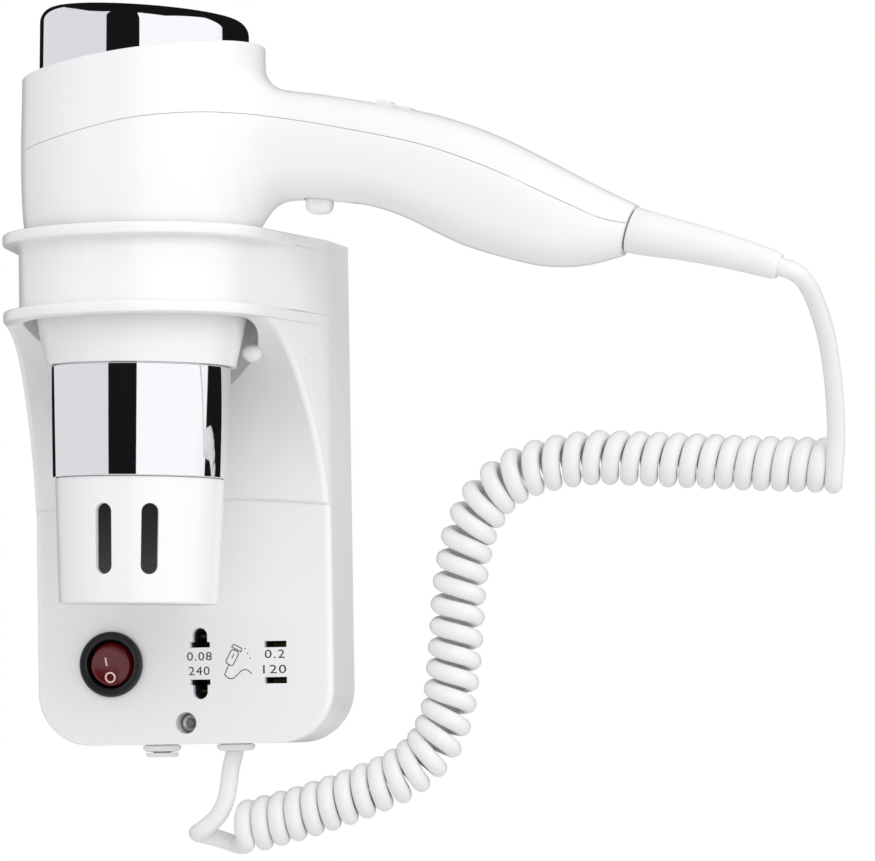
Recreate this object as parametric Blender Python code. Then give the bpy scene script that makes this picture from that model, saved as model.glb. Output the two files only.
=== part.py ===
"""Wall-mounted hair dryer: a holder with a collar and a shaver outlet, the dryer docked in it, and its curly cord.

The origin is the centre of the holder's back on the wall plane: +X right, +Z up, and the holder stands out toward -Y.
Every length below is in millimetres and every angle in degrees; mesh_object() and the curves turn them into metres.
The dryer is modelled in its own frame, with the outlet's centre at the origin, the barrel along +Z and the handle
along +X. The empty named dryer_frame stands that frame in the collar, leaning slightly toward the handle.
"""

import math

import bmesh
import bpy
from mathutils import Matrix, Vector

MM = 0.001
GAP = 0.3
ROUND = 40

# Holder
HALF_WIDTH = 54.0
TOP = 85.0
BOTTOM = -90.0
BOX_DEPTH = 29.5
BOX_CORNER = 19.0
WALL = 2.5
EDGE_ROUND = 2.2
LEDGE_Z = -6.3
LEDGE_DEPTH = 31.3
LEDGE_ARCH = 2.9
NICHE_TOP = 54.6
COLLAR_DEPTH = 74.0
COLLAR_RADIUS = 41.5
COLLAR_TAPER = 16.7
FLANGE_RADIUS = 47.0
FLANGE_TAPER = 8.3
FLANGE_HEIGHT = 3.9
BORE_RADIUS = 39.2
MOUTH_RADIUS = 43.3
MOUTH_START = 76.0
BACK_PLATE = 2.5
WALL_HOLE_RADIUS = 2.3

# Depth from the wall against height: the side walls' front edge, and the middle of the niche between them
SIDE_EDGE = [
    (-20.0, 29.5), (-6.3, 31.5), (3.3, 33.4), (11.9, 37.1), (19.1, 40.6), (31.2, 48.7), (41.3, 57.2), (48.7, 66.5),
    (52.0, 73.5), (54.0, 80.0), (54.6, 84.0), (56.0, 95.0),
]
NICHE_BACK = [
    (-20.0, 30.0), (-3.0, 30.7), (10.0, 31.3), (22.0, 33.0), (30.0, 35.4), (36.0, 38.2), (41.0, 42.2), (46.0, 48.6),
    (50.0, 56.5), (52.6, 65.0), (54.0, 75.0), (54.6, 84.0), (56.0, 95.0),
]

# Controls and outlet in the holder's front
ROCKER_X = -26.3
ROCKER_Z = -61.6
ROCKER_TURN = -5.0
ROCKER_TILT = 9.0
ROCKER_PIVOT_DEPTH = 27.0
ROCKER_BALL = 8.1
OUTLET_Z = -61.9
ROUND_PIN_X = 6.15
FLAT_PIN_X = 33.6
FLAT_PIN_SPACING = 12.6
COVER_SCREW_X = 0.7
COVER_SCREW_Z = -82.6
GLAND_X = -12.6
CORD_BUSH_X = 14.6
BUSH_DEPTH = 15.0

# Dryer, in its own frame
DRYER_LEAN = 1.4
DRYER_ORIGIN = (-2.13, -COLLAR_DEPTH, -42.0)
BAND_BOTTOM = 43.1
BAND_TOP = 81.1
NECK_BOTTOM = 81.4
SHELL_WALL = 2.2
REAR_RIM = 185.0
REAR_RIM_SLOPE = 0.15
REAR_RING_RADIUS = 35.9
REAR_RING_TOP = 202.8
REAR_RING_SLOPE = -0.061
SLOT_WIDTH = 5.8
SLOT_LOW = 9.8
SLOT_HIGH = 33.8
SLOT_CENTRE_ANGLE = 8.4
SLOT_HALF_SPACING = 16.35
TRIGGER_X = 63.05
HANDLE_SCREW_X = 78.0
KNOB_ORIGIN = (89.4, 0.0, 168.1)
KNOB_SLOPE = 10.6
BOOT_SLOPE = 17.0

# Outlines of the dryer as (radius, height) or (x, height) points
BODY_OUTLINE = [
    (32.6, 81.4), (34.6, 91.0), (36.2, 100.0), (37.4, 116.0), (38.1, 121.0), (39.5, 125.0),
    (40.5, 128.5), (41.1, 134.0), (41.7, 145.0), (41.9, 158.0), (41.8, 172.0), (41.6, 196.0),
]
HANDLE_TOP = [
    (30, 189), (35, 190), (38.0, 189.4), (40.3, 186.0), (42.6, 181.4), (46.6, 177.2), (51.4, 175.5), (64.8, 173.7),
    (83.5, 170.5), (96, 167.9), (108, 164.9), (122, 160.0), (136.6, 153.2), (159.8, 141.0), (173.5, 134.3), (186, 128.5),
]
HANDLE_BOTTOM = [
    (30, 126), (36, 127.5), (41.4, 129.0), (43.6, 132.9), (48.9, 137.0), (58, 137.9), (76, 136.4), (85, 134.4),
    (95.4, 130.4), (105, 125.6), (115.3, 121.0), (137, 114.9), (148, 113.8), (158.2, 114.7), (173, 118.4), (186, 120.5),
]
HANDLE_HALF_DEPTH = [
    (30, 20.5), (38, 20.0), (43, 18.4), (51, 17.2), (65, 16.7), (96, 16.9), (117, 17.2), (138, 16.0),
    (158, 12.4), (173, 8.6), (186, 6.5),
]
PARTING_LINE = [
    (-60, 152.4), (-41, 153.6), (-24, 156.0), (-8, 159.2), (7, 162.4), (20, 164.2), (33, 165.6), (40, 165.8),
    (51, 164.6), (67, 162.0), (99.4, 155.2), (115, 150.3), (129.7, 144.4), (154, 133.0), (163, 129.1), (172, 127.4),
    (190, 127.0),
]
END_SEAM = [(175.7, 141.2), (166.1, 110.0)]
BOOT_STATIONS = [
    (162.5, 128.4, 5.6), (171.4, 126.0, 5.6), (171.5, 126.0, 7.9), (180.0, 123.9, 7.3),
    (196.0, 120.4, 6.2), (210.0, 116.6, 5.4), (219.8, 113.6, 4.8), (221.7, 113.0, 4.0),
]

# Cord
CORD_RADIUS = 3.1
COIL_RADIUS = 9.7
COIL_DEPTH = 12.0
HANDLE_TAIL = [
    (223.4, -74, 65.1), (226.6, -73.6, 63.9), (229.8, -68.5, 61.2), (231.9, -60, 55.7), (233.4, -49, 46.5),
    (233.8, -41, 38.2), (233.2, -32, 27.3), (232.2, -25, 13.4), (231.4, -20, 2.5), (230.4, -16, -3.6),
    (228.2, -13, -5.4), (224.8, -12, -5.0),
]
COIL_ROUTE = [
    (222.9, 2.2), (201, 3.6), (181.9, 4.9), (163.6, 6.1), (145, 7.1), (130, 5.6), (118, 2.2), (108, -4.4),
    (101, -15.0), (97.8, -25), (95.5, -38.5), (94.3, -52.7), (92.8, -66.7), (90.4, -80.9), (84.4, -93.0),
    (74, -101.5), (59.3, -107.7), (40.3, -113.8), (21.5, -118.9),
]
BASE_TAIL = [
    (14.4, -15, -93.4), (12.6, -15, -99.3), (12.0, -15, -104.9), (10.4, -16, -112.6), (5.8, -17, -118.4),
    (0.4, -16, -122.4), (-2.4, -14, -126.8), (1.2, -12, -131.0), (8.2, -11, -132.4), (15.5, -11.5, -129.6),
    (22.2, -12, -127.2),
]


# ---------------------------------------------------------------- materials

def make_material(name, colour, roughness, metallic=0.0):
    material = bpy.data.materials.new(name)
    material.use_nodes = True
    shader = material.node_tree.nodes["Principled BSDF"]
    shader.inputs["Base Color"].default_value = (*colour, 1.0)
    shader.inputs["Roughness"].default_value = roughness
    shader.inputs["Metallic"].default_value = metallic
    return material


FINISHES = {
    "white": ((0.86, 0.86, 0.87), 0.28, 0.0),
    "white_soft": ((0.84, 0.84, 0.85), 0.45, 0.0),
    "chrome": ((0.80, 0.80, 0.82), 0.05, 1.0),
    "black": ((0.02, 0.02, 0.022), 0.4, 0.0),
    "red": ((0.25, 0.01, 0.012), 0.15, 0.0),
    "steel": ((0.55, 0.55, 0.56), 0.35, 1.0),
    "brass": ((0.78, 0.57, 0.25), 0.3, 1.0),
    "copper": ((0.62, 0.30, 0.16), 0.35, 1.0),
    "mica": ((0.55, 0.47, 0.36), 0.6, 0.0),
    "dark_plastic": ((0.08, 0.08, 0.085), 0.5, 0.0),
    "nichrome": ((0.33, 0.31, 0.30), 0.45, 1.0),
}


# ---------------------------------------------------------------- geometry helpers

def axis_point(axis, across, up, along):
    """A point from the two coordinates of an outline and the one along the axis that it is extruded or turned about."""
    if axis == "X":
        return Vector((along, across, up))
    if axis == "Y":
        return Vector((across, along, up))
    return Vector((across, up, along))


def loft(rings, closed=False):
    """A skin over rings of equal length; the ends are capped unless the last ring joins the first."""
    count = len(rings[0])
    points = [point for ring in rings for point in ring]
    faces = []
    pairs = len(rings) if closed else len(rings) - 1
    for level in range(pairs):
        low = level * count
        high = ((level + 1) % len(rings)) * count
        for i in range(count):
            j = (i + 1) % count
            faces.append((low + i, low + j, high + j, high + i))
    if not closed:
        faces.append(tuple(range(count)))
        faces.append(tuple((len(rings) - 1) * count + i for i in range(count)))
    return points, faces


def prism(outline, low, high, axis="Z"):
    return loft([[axis_point(axis, a, b, t) for a, b in outline] for t in (low, high)])


def box(low, high):
    outline = [(low[0], low[1]), (high[0], low[1]), (high[0], high[1]), (low[0], high[1])]
    return prism(outline, low[2], high[2])


def turned(profile, centre=(0.0, 0.0, 0.0), axis="Z", segments=ROUND):
    """A closed outline of (radius, distance along the axis) points, turned about an axis through centre."""
    points = []
    rings = []
    for radius, along in profile:
        if radius == 0:
            rings.append([len(points)] * segments)
            points.append(axis_point(axis, 0, 0, along) + Vector(centre))
            continue
        rings.append(range(len(points), len(points) + segments))
        for i in range(segments):
            angle = math.tau * i / segments
            points.append(axis_point(axis, radius * math.cos(angle), radius * math.sin(angle), along) + Vector(centre))
    faces = []
    for low, high in zip(rings, rings[1:] + rings[:1]):
        for i in range(segments):
            j = (i + 1) % segments
            corners = list(dict.fromkeys((low[i], low[j], high[j], high[i])))
            if len(corners) > 2:
                faces.append(tuple(corners))
    return points, faces


def cylinder(radius, low, high, centre=(0.0, 0.0, 0.0), axis="Z", segments=24):
    return turned([(0, low), (radius, low), (radius, high), (0, high)], centre, axis, segments)


def rounded_rectangle(low, high, radius, steps=6):
    """The corners are (x, z) points, and the outline runs anticlockwise from the lower right."""
    corners = [
        (high[0] - radius, low[1] + radius, -90), (high[0] - radius, high[1] - radius, 0),
        (low[0] + radius, high[1] - radius, 90), (low[0] + radius, low[1] + radius, 180),
    ]
    outline = []
    for x, z, start in corners:
        for i in range(steps + 1):
            angle = math.radians(start + 90 * i / steps)
            outline.append((x + radius * math.cos(angle), z + radius * math.sin(angle)))
    return outline


def smooth_curve(points, x):
    """The height at x of a smooth line through (x, height) points."""
    last = len(points) - 2
    k = next((i for i in range(last + 1) if x <= points[i + 1][0]), last)
    before, start = points[max(k - 1, 0)], points[k]
    end, after = points[k + 1], points[min(k + 2, last + 1)]
    width = end[0] - start[0]
    t = (x - start[0]) / width
    slope_in = (end[1] - before[1]) / (end[0] - before[0]) * width
    slope_out = (after[1] - start[1]) / (after[0] - start[0]) * width
    return (
        start[1] * (2 * t**3 - 3 * t**2 + 1) + slope_in * (t**3 - 2 * t**2 + t)
        + end[1] * (3 * t**2 - 2 * t**3) + slope_out * (t**3 - t**2)
    )


def smooth_route(points, spacing):
    """Evenly spaced points on a smooth line through the route's own points."""
    route = [Vector(point) for point in points]
    padded = [2 * route[0] - route[1], *route, 2 * route[-1] - route[-2]]
    fine = []
    for k in range(1, len(padded) - 2):
        a, b, c, d = padded[k - 1:k + 3]
        for step in range(20):
            t = step / 20
            fine.append(0.5 * (2 * b + (c - a) * t + (2 * a - 5 * b + 4 * c - d) * t**2 + (3 * b - a - 3 * c + d) * t**3))
    fine.append(route[-1])
    lengths = [0.0]
    for a, b in zip(fine, fine[1:]):
        lengths.append(lengths[-1] + (b - a).length)
    count = max(2, round(lengths[-1] / spacing))
    found = []
    k = 0
    for i in range(count + 1):
        target = lengths[-1] * i / count
        while k < len(fine) - 2 and lengths[k + 1] < target:
            k += 1
        span = max(lengths[k + 1] - lengths[k], 1e-9)
        found.append(fine[k].lerp(fine[k + 1], (target - lengths[k]) / span))
    return found


def merged(*pieces):
    """Several shapes as one list of points and faces, for a cutter or a set of blades."""
    points = []
    faces = []
    for piece_points, piece_faces in pieces:
        base = len(points)
        points += piece_points
        faces += [tuple(base + i for i in face) for face in piece_faces]
    return points, faces


# ---------------------------------------------------------------- object helpers

def mesh_object(name, shape, finish=None, frame=None, origin=(0.0, 0.0, 0.0), sharp=35):
    """An object whose mesh is given in its frame, in millimetres. Its own origin is put at the point called origin."""
    points, faces = shape
    centre = Vector(origin)
    mesh = bpy.data.meshes.new(name)
    mesh.from_pydata([(Vector(point) - centre) * MM for point in points], [], faces)
    work = bmesh.new()
    work.from_mesh(mesh)
    bmesh.ops.recalc_face_normals(work, faces=work.faces)
    work.to_mesh(mesh)
    work.free()
    obj = bpy.data.objects.new(name, mesh)
    bpy.context.scene.collection.objects.link(obj)
    obj.location = centre * MM
    obj.parent = frame
    if finish:
        mesh.materials.append(MATERIALS[finish])
        mesh.shade_smooth()
        mesh.set_sharp_from_angle(angle=math.radians(sharp))
    return obj


def helper(name, shape, frame=None):
    obj = mesh_object(name, shape, frame=frame)
    obj.hide_render = True
    obj.display_type = "WIRE"
    return obj


def combine(obj, operation, *helpers):
    for other in helpers:
        modifier = obj.modifiers.new(f"{operation.lower()} {other.name}", "BOOLEAN")
        modifier.operation = operation
        modifier.solver = "EXACT"
        modifier.object = other
    return obj


def cut(obj, *helpers):
    return combine(obj, "DIFFERENCE", *helpers)


def join(obj, *helpers):
    return combine(obj, "UNION", *helpers)


def tube(name, points, radius, finish, frame=None, sides=2):
    curve = bpy.data.curves.new(name, "CURVE")
    curve.dimensions = "3D"
    curve.bevel_depth = radius * MM
    curve.bevel_resolution = sides
    curve.use_fill_caps = True
    spline = curve.splines.new("POLY")
    spline.points.add(len(points) - 1)
    for spot, point in zip(spline.points, points):
        spot.co = (*(Vector(point) * MM), 1.0)
    curve.materials.append(MATERIALS[finish])
    obj = bpy.data.objects.new(name, curve)
    bpy.context.scene.collection.objects.link(obj)
    obj.parent = frame
    return obj


def empty(name, location, rotation, frame=None):
    obj = bpy.data.objects.new(name, None)
    bpy.context.scene.collection.objects.link(obj)
    obj.location = Vector(location) * MM
    obj.rotation_euler = [math.radians(angle) for angle in rotation]
    obj.parent = frame
    return obj


def clear_scene():
    for obj in list(bpy.data.objects):
        bpy.data.objects.remove(obj)


# ---------------------------------------------------------------- holder housing

SIDE_POINTS = 5
CORNER_POINTS = 3
FRONT_POINTS = 19


def half_width(depth, radius, taper):
    """Half the holder's width at a depth from the wall: the straight side that is tangent to the collar's round front."""
    angle = math.radians(taper)
    width = (radius + (COLLAR_DEPTH - depth) * math.sin(angle)) / math.cos(angle)
    return min(width, HALF_WIDTH)


def flange_half_width(depth):
    return half_width(depth, FLANGE_RADIUS, FLANGE_TAPER)


def full_ring(z, radius, taper, inset=0.0):
    """The U-shaped outline of the collar at height z, from the right of the wall round the front to the left."""
    start = math.radians(taper)
    reach = COLLAR_DEPTH + radius * math.sin(start)
    right = []
    for i in range(SIDE_POINTS):
        depth = reach * i / SIDE_POINTS
        width = min(half_width(depth, radius, taper), flange_half_width(depth))
        fade = min(max((depth - 30) / 30, 0.0), 1.0)
        right.append((width - inset * fade, depth))
    arc = []
    arc_points = 2 * CORNER_POINTS + FRONT_POINTS
    for i in range(arc_points):
        angle = start + (math.pi - 2 * start) * i / (arc_points - 1)
        arc.append(((radius - inset) * math.cos(angle), COLLAR_DEPTH + (radius - inset) * math.sin(angle)))
    left = [(-x, depth) for x, depth in reversed(right)]
    return [Vector((x, -depth, z)) for x, depth in right + arc + left]


def flat_ring(z, rim, middle, half=None):
    """The outline at height z where the front is cut back: rim is the side walls' depth, middle the hollow's."""
    width = (half or flange_half_width(rim)) - EDGE_ROUND
    right = []
    for i in range(SIDE_POINTS):
        depth = (rim - EDGE_ROUND) * i / SIDE_POINTS
        right.append((half or flange_half_width(depth), depth))
    corner = []
    for i in range(CORNER_POINTS):
        angle = math.pi / 2 * i / CORNER_POINTS
        corner.append((width + EDGE_ROUND * math.cos(angle), rim - EDGE_ROUND + EDGE_ROUND * math.sin(angle)))
    front = []
    for i in range(FRONT_POINTS):
        across = math.cos(math.pi * i / (FRONT_POINTS - 1))
        hollow = 1 - across**2
        front.append((width * across, rim - (rim - middle) * hollow))
    mirrored = [(-x, depth) for x, depth in reversed(right + corner)]
    arch = LEDGE_ARCH if abs(z - LEDGE_Z) < 3.5 else 0.0
    ring = []
    for x, depth in right + corner + front + mirrored:
        ring.append(Vector((x, -depth, z + arch * (1 - (x / HALF_WIDTH) ** 2))))
    return ring


def niche_ring(z):
    """One level of the concave niche between the ledge and the collar."""
    return flat_ring(z, smooth_curve(SIDE_EDGE, z), smooth_curve(NICHE_BACK, z))


def housing_rings():
    rings = []
    for i in range(6, -1, -1):
        angle = math.radians(15 * i)
        half = HALF_WIDTH - BOX_CORNER * (1 - math.cos(angle))
        rings.append(flat_ring(BOTTOM + BOX_CORNER * (1 - math.sin(angle)), BOX_DEPTH, BOX_DEPTH, half))
    rings.append(flat_ring(-35, BOX_DEPTH, BOX_DEPTH))
    rings.append(flat_ring(LEDGE_Z - 1.2, BOX_DEPTH, BOX_DEPTH))
    rings.append(flat_ring(LEDGE_Z - 0.7, LEDGE_DEPTH - 0.3, LEDGE_DEPTH - 0.3))
    rings.append(flat_ring(LEDGE_Z + 0.3, LEDGE_DEPTH, LEDGE_DEPTH))
    rings.append(flat_ring(LEDGE_Z + 2.5, LEDGE_DEPTH + 0.1, LEDGE_DEPTH - 0.6))
    for z in (4, 12, 20, 27, 33, 38.5, 43.5, 47.5, 50.5, 52.7, 54.0, NICHE_TOP):
        rings.append(niche_ring(z))
    for low in (NICHE_TOP + 0.1, TOP - FLANGE_HEIGHT):
        high = low + FLANGE_HEIGHT
        rings.append(full_ring(low, FLANGE_RADIUS, FLANGE_TAPER, 0.7))
        rings.append(full_ring(low + 0.7, FLANGE_RADIUS, FLANGE_TAPER))
        rings.append(full_ring(high - 1.0, FLANGE_RADIUS, FLANGE_TAPER))
        rings.append(full_ring(high, FLANGE_RADIUS, FLANGE_TAPER, 1.0))
        if high < TOP:
            rings.append(full_ring(high + 0.3, COLLAR_RADIUS, COLLAR_TAPER))
            rings.append(full_ring(TOP - FLANGE_HEIGHT - 0.3, COLLAR_RADIUS, COLLAR_TAPER))
    return rings


def round_pin_outline(side):
    """One of the outlet's two openings for a round or a wide pin; side is 1 for the upper one and -1 for the lower."""
    outline = [(3.6, 5.6), (3.6, 7.5), (2.65, 7.5)]
    outline += [
        (2.65 * math.cos(math.radians(a)), 9.8 + 2.65 * math.sin(math.radians(a))) for a in range(0, 181, 20)
    ]
    outline += [(-2.65, 7.5), (-3.6, 7.5), (-3.6, 5.6)]
    return [(ROUND_PIN_X + x, OUTLET_Z + side * z) for x, z in outline]


def flat_pin_outline(side):
    middle = OUTLET_Z + side * FLAT_PIN_SPACING / 2
    return [(FLAT_PIN_X + x, middle + z) for x, z in ((-4.0, -1.1), (4.0, -1.1), (4.0, 1.1), (-4.0, 1.1))]


def outlet_openings(low, high):
    """The four openings of the shaver outlet, from one depth to another."""
    outlines = [round_pin_outline(1), round_pin_outline(-1), flat_pin_outline(1), flat_pin_outline(-1)]
    return merged(*(prism(outline, -high, -low, "Y") for outline in outlines))


def collar_bore():
    depth = (0.0, -COLLAR_DEPTH, 0.0)
    profile = [
        (0, 14), (BORE_RADIUS + 1.0, 14), (BORE_RADIUS + 1.0, 57), (BORE_RADIUS, 60), (BORE_RADIUS, MOUTH_START),
        (40.3, 79), (41.7, 82.7), (MOUTH_RADIUS, TOP), (MOUTH_RADIUS, TOP + 6), (0, TOP + 6),
    ]
    return turned(profile, depth)


def guide_nubs():
    """Two round nubs inside the lower mouth of the collar, which keep the docked neck from rattling."""
    nubs = []
    for side in (-1, 1):
        profile = [(4.1 * math.cos(math.radians(a)), 3.6 * math.sin(math.radians(a))) for a in range(-60, 61, 30)]
        profile = [(0, -3.6), *profile, (0, 3.6)]
        nubs.append(turned(profile, (side * 35.4, -57.0, 43.6), segments=12))
    return merged(*nubs)


def holder_housing():
    housing = mesh_object("holder_housing", loft(housing_rings()), "white")
    inside_low = (-HALF_WIDTH + WALL, BOTTOM + WALL)
    inside_high = (HALF_WIDTH - WALL, TOP - WALL)
    inside = prism(rounded_rectangle(inside_low, inside_high, BOX_CORNER - WALL), -BOX_DEPTH + WALL, 2, "Y")
    screw_at = (COVER_SCREW_X, 0.0, COVER_SCREW_Z)
    bushes = merged(*(cylinder(6.1, BOTTOM - 3, BOTTOM + 4, (x, -BUSH_DEPTH, 0)) for x in (GLAND_X, CORD_BUSH_X)))
    cut(housing, helper("collar_bore_cutter", collar_bore()), helper("inside_cutter", inside))
    join(housing, helper("guide_nubs_helper", guide_nubs()))
    join(housing, helper("screw_tube_helper", cylinder(5.3, -BOX_DEPTH + 1, -19.5, screw_at, "Y")))
    screw_bore = [(0, -33), (3.75, -33), (3.75, -21.7), (2.1, -21.7), (2.1, -18), (0, -18)]
    cut(
        housing,
        helper("screw_bore_cutter", turned(screw_bore, screw_at, "Y", 24)),
        helper("rocker_cutter", cylinder(9.9, -33, -24, (ROCKER_X, 0.0, ROCKER_Z), "Y", 32)),
        helper("outlet_cutter", outlet_openings(24, 33)),
        helper("bush_cutter", bushes),
    )
    return housing


def back_plate():
    low = (-HALF_WIDTH + WALL + GAP, BOTTOM + WALL + GAP)
    high = (HALF_WIDTH - WALL - GAP, TOP - WALL - GAP)
    plate = mesh_object("back_plate", prism(rounded_rectangle(low, high, BOX_CORNER - WALL - GAP), -BACK_PLATE, 0, "Y"),
                        "white_soft")
    at = (COVER_SCREW_X, 0.0, COVER_SCREW_Z)
    holes = merged(*(
        cylinder(WALL_HOLE_RADIUS, -6, 3, (x, 0.0, z), "Y", 24) for x in (-38.0, 38.0) for z in (-45.0, 65.0)
    ))
    join(plate, helper("plate_post_helper", cylinder(4.4, -19.1, -1, at, "Y")))
    cut(plate, helper("plate_post_cutter", cylinder(1.8, -24, -8, at, "Y", 16)), helper("plate_hole_cutter", holes))


def cover_screw():
    profile = [(0, -24.6), (1.2, -24.6), (1.2, -23.6), (2.6, -24.4), (3.3, -23.4), (3.3, -22.0), (1.45, -22.0),
               (1.45, -9.5), (0, -9.0)]
    mesh_object("cover_screw", turned(profile, (COVER_SCREW_X, 0.0, COVER_SCREW_Z), "Y", 20), "steel")


# ---------------------------------------------------------------- rocker, outlet and supply parts

def rocker_switch():
    turn = math.radians(ROCKER_TURN)
    at = (ROCKER_X, 0.0, ROCKER_Z)
    frame_profile = [
        (0, -14.5), (9.6, -14.5), (9.6, -29.8), (11.5, -29.8), (11.5, -30.9), (10.9, -31.7), (9.1, -31.6),
        (8.5, -31.0), (8.5, -17.5), (0, -17.5),
    ]
    mesh_object("rocker_frame", turned(frame_profile, at, "Y", 32), "black")
    profile = [(0, 5.6)]
    for angle in (-44, -22, 0, 20, 32):
        profile.append((ROCKER_BALL * math.cos(math.radians(angle)), -ROCKER_BALL * math.sin(math.radians(angle))))
    profile += [(6.4, -4.5), (3.5, -4.1), (0, -4.0)]
    pivot = (ROCKER_X, -ROCKER_PIVOT_DEPTH, ROCKER_Z)
    button = mesh_object("rocker_button", turned(profile, pivot, "Y", 28), "red", origin=pivot)
    button.rotation_euler = (Matrix.Rotation(turn, 3, "Y") @ Matrix.Rotation(math.radians(ROCKER_TILT), 3, "X")).to_euler()


def shaver_outlet():
    block = mesh_object("outlet_body", box((-1.5, -26.7, OUTLET_Z - 14.5), (41.5, -10.5, OUTLET_Z + 14.5)), "dark_plastic")
    cut(block, helper("outlet_body_cutter", outlet_openings(12.5, 30)))
    for side, level in ((1, "upper"), (-1, "lower")):
        high = OUTLET_Z + side * 9.6
        mesh_object(f"contact_240_{level}", box((ROUND_PIN_X - 1.8, -22, high - 0.5), (ROUND_PIN_X + 1.8, -13, high + 0.5)),
                    "brass")
        near = OUTLET_Z + side * FLAT_PIN_SPACING / 2
        mesh_object(f"contact_120_{level}", box((FLAT_PIN_X - 3, -22, near - 0.4), (FLAT_PIN_X + 3, -13, near + 0.4)), "brass")


def transformer():
    core = mesh_object("transformer_core", box((-24, -24.5, -28), (20, -5.5, 8)), "steel")
    windows = merged(box((-15.6, -30, -21), (-9.2, 0, 1)), box((5.2, -30, -21), (11.6, 0, 1)))
    cut(core, helper("core_window_cutter", windows))
    rings = []
    for z, inset in ((-20.6, 0.0), (0.6, 0.0), (0.6, 5.7), (-20.6, 5.7)):
        low_x, high_x = -15.2 + inset, 11.2 - inset
        low_y, high_y = -26.2 + min(inset, 1.3), -3.6 - min(inset, 1.5)
        rings.append([Vector(p) for p in ((low_x, low_y, z), (high_x, low_y, z), (high_x, high_y, z), (low_x, high_y, z))])
    mesh_object("transformer_winding", loft(rings, closed=True), "copper")
    mesh_object("overload_cutout", cylinder(3.2, -16, -2, (31.0, -12.0, 0.0), segments=20), "black")


def terminal_block():
    block = mesh_object("terminal_block", box((-20, -15, -43.5), (12, -3.2, -34)), "white_soft")
    pits = merged(*(cylinder(2.2, -20, -9, (-16.0 + 8.0 * i, 0.0, -38.8), "Y", 12) for i in range(4)))
    cut(block, helper("terminal_pit_cutter", pits))


def bottom_bushes():
    """The closed gland on the left, its plug, the bush that the curly cord comes out of, and the clamp above it."""
    ring = [(3.6, BOTTOM + 3.4), (5.8, BOTTOM + 3.4), (5.8, BOTTOM - GAP), (6.7, BOTTOM - GAP), (6.7, BOTTOM - 1.4),
            (5.9, BOTTOM - 2.4), (3.6, BOTTOM - 2.6)]
    mesh_object("supply_gland", turned(ring, (GLAND_X, -BUSH_DEPTH, 0.0), segments=24), "white")
    mesh_object("cord_bush", turned(ring, (CORD_BUSH_X, -BUSH_DEPTH, 0.0), segments=24), "white")
    plug = [(0, BOTTOM + 2), (3.1, BOTTOM + 2), (3.1, BOTTOM - 2.9), (5.8, BOTTOM - 2.9), (5.5, BOTTOM - 4.4), (0, BOTTOM - 4.5)]
    mesh_object("gland_plug", turned(plug, (GLAND_X, -BUSH_DEPTH, 0.0), segments=24), "white_soft")
    clamp = mesh_object("cord_clamp", box((8.2, -21, -85.6), (21, -9, -79.5)), "dark_plastic")
    cut(clamp, helper("clamp_cutter", cylinder(3.3, -95, -70, (CORD_BUSH_X, -BUSH_DEPTH, 0.0), segments=16)))


# ---------------------------------------------------------------- dryer shells

def handle_section(x, inset, sides):
    top = smooth_curve(HANDLE_TOP, x) - inset
    bottom = smooth_curve(HANDLE_BOTTOM, x) + inset
    half_depth = smooth_curve(HANDLE_HALF_DEPTH, x) - inset
    middle = (top + bottom) / 2
    ring = []
    for i in range(sides):
        angle = math.tau * i / sides
        across = math.copysign(abs(math.cos(angle)) ** 0.86, math.cos(angle))
        up = math.copysign(abs(math.sin(angle)) ** 0.86, math.sin(angle))
        ring.append(Vector((x, half_depth * across, middle + (top - middle) * up)))
    return ring


def handle_solid(inset, start, end):
    stations = [start, 36, 38.4, 40.4, 42.6, 46.4, 51.4, 58, 70, 82, 95, 107, 118, 130, 142, 153, 162, 172, end]
    sides = 22
    if inset:
        stations = [start, 36, 41.5, 47, 55, 70, 90, 110, 130, 150, 165, end]
        sides = 14
    return loft([handle_section(x, inset, sides) for x in stations])


def body_solid(inset):
    profile = [(radius - inset, height) for radius, height in BODY_OUTLINE]
    if inset:
        profile = [(0, 70), (30.3, 70), (30.3, 83), *profile[2:-2:2], (39.4, 176), (36.4, 177), (36.4, 215), (0, 215)]
    else:
        profile = [(0, profile[0][1]), *profile, (0, profile[-1][1])]
    return turned(profile)


def parting_region(side):
    """Everything above (side 1) or below (side -1) the line where the two shells meet."""
    xs = [-60 + 12.5 * i for i in range(21)]
    far = 240 if side > 0 else 50
    outline = [(x, smooth_curve(PARTING_LINE, x) + side * GAP / 2) for x in xs]
    outline += [(xs[-1], far), (xs[0], far)]
    return prism(outline, -70, 70, "Y")


def past_end_seam():
    (top_x, top), (low_x, low) = END_SEAM
    return prism([(low_x, low), (260, low), (260, top), (top_x, top)], -40, 40, "Y")


def above_rear_rim(shift=0.0):
    left = REAR_RIM - 80 * REAR_RIM_SLOPE + shift
    right = REAR_RIM + 80 * REAR_RIM_SLOPE + shift
    return prism([(-80, left), (80, right), (80, 260), (-80, 260)], -70, 70, "Y")


def shell(name, side, frame):
    obj = mesh_object(name, body_solid(0.0), "white", frame)
    join(obj, helper(f"{name}_handle", handle_solid(0.0, 30, 182), frame))
    cut(obj, helper(f"{name}_body_hollow", body_solid(SHELL_WALL), frame))
    cut(obj, helper(f"{name}_handle_hollow", handle_solid(SHELL_WALL, 31, 184), frame))
    post = [(0, 137.2), (4.7, 137.2), (4.7, 142.0), (3.2, 143.5), (3.2, 170.6), (0, 170.6)]
    join(obj, helper(f"{name}_screw_post", turned(post, (HANDLE_SCREW_X, 0.0, 0.0), segments=20), frame))
    combine(obj, "INTERSECT", helper(f"{name}_region", parting_region(side), frame))
    cut(obj, helper(f"{name}_end", past_end_seam(), frame))
    return obj


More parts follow.
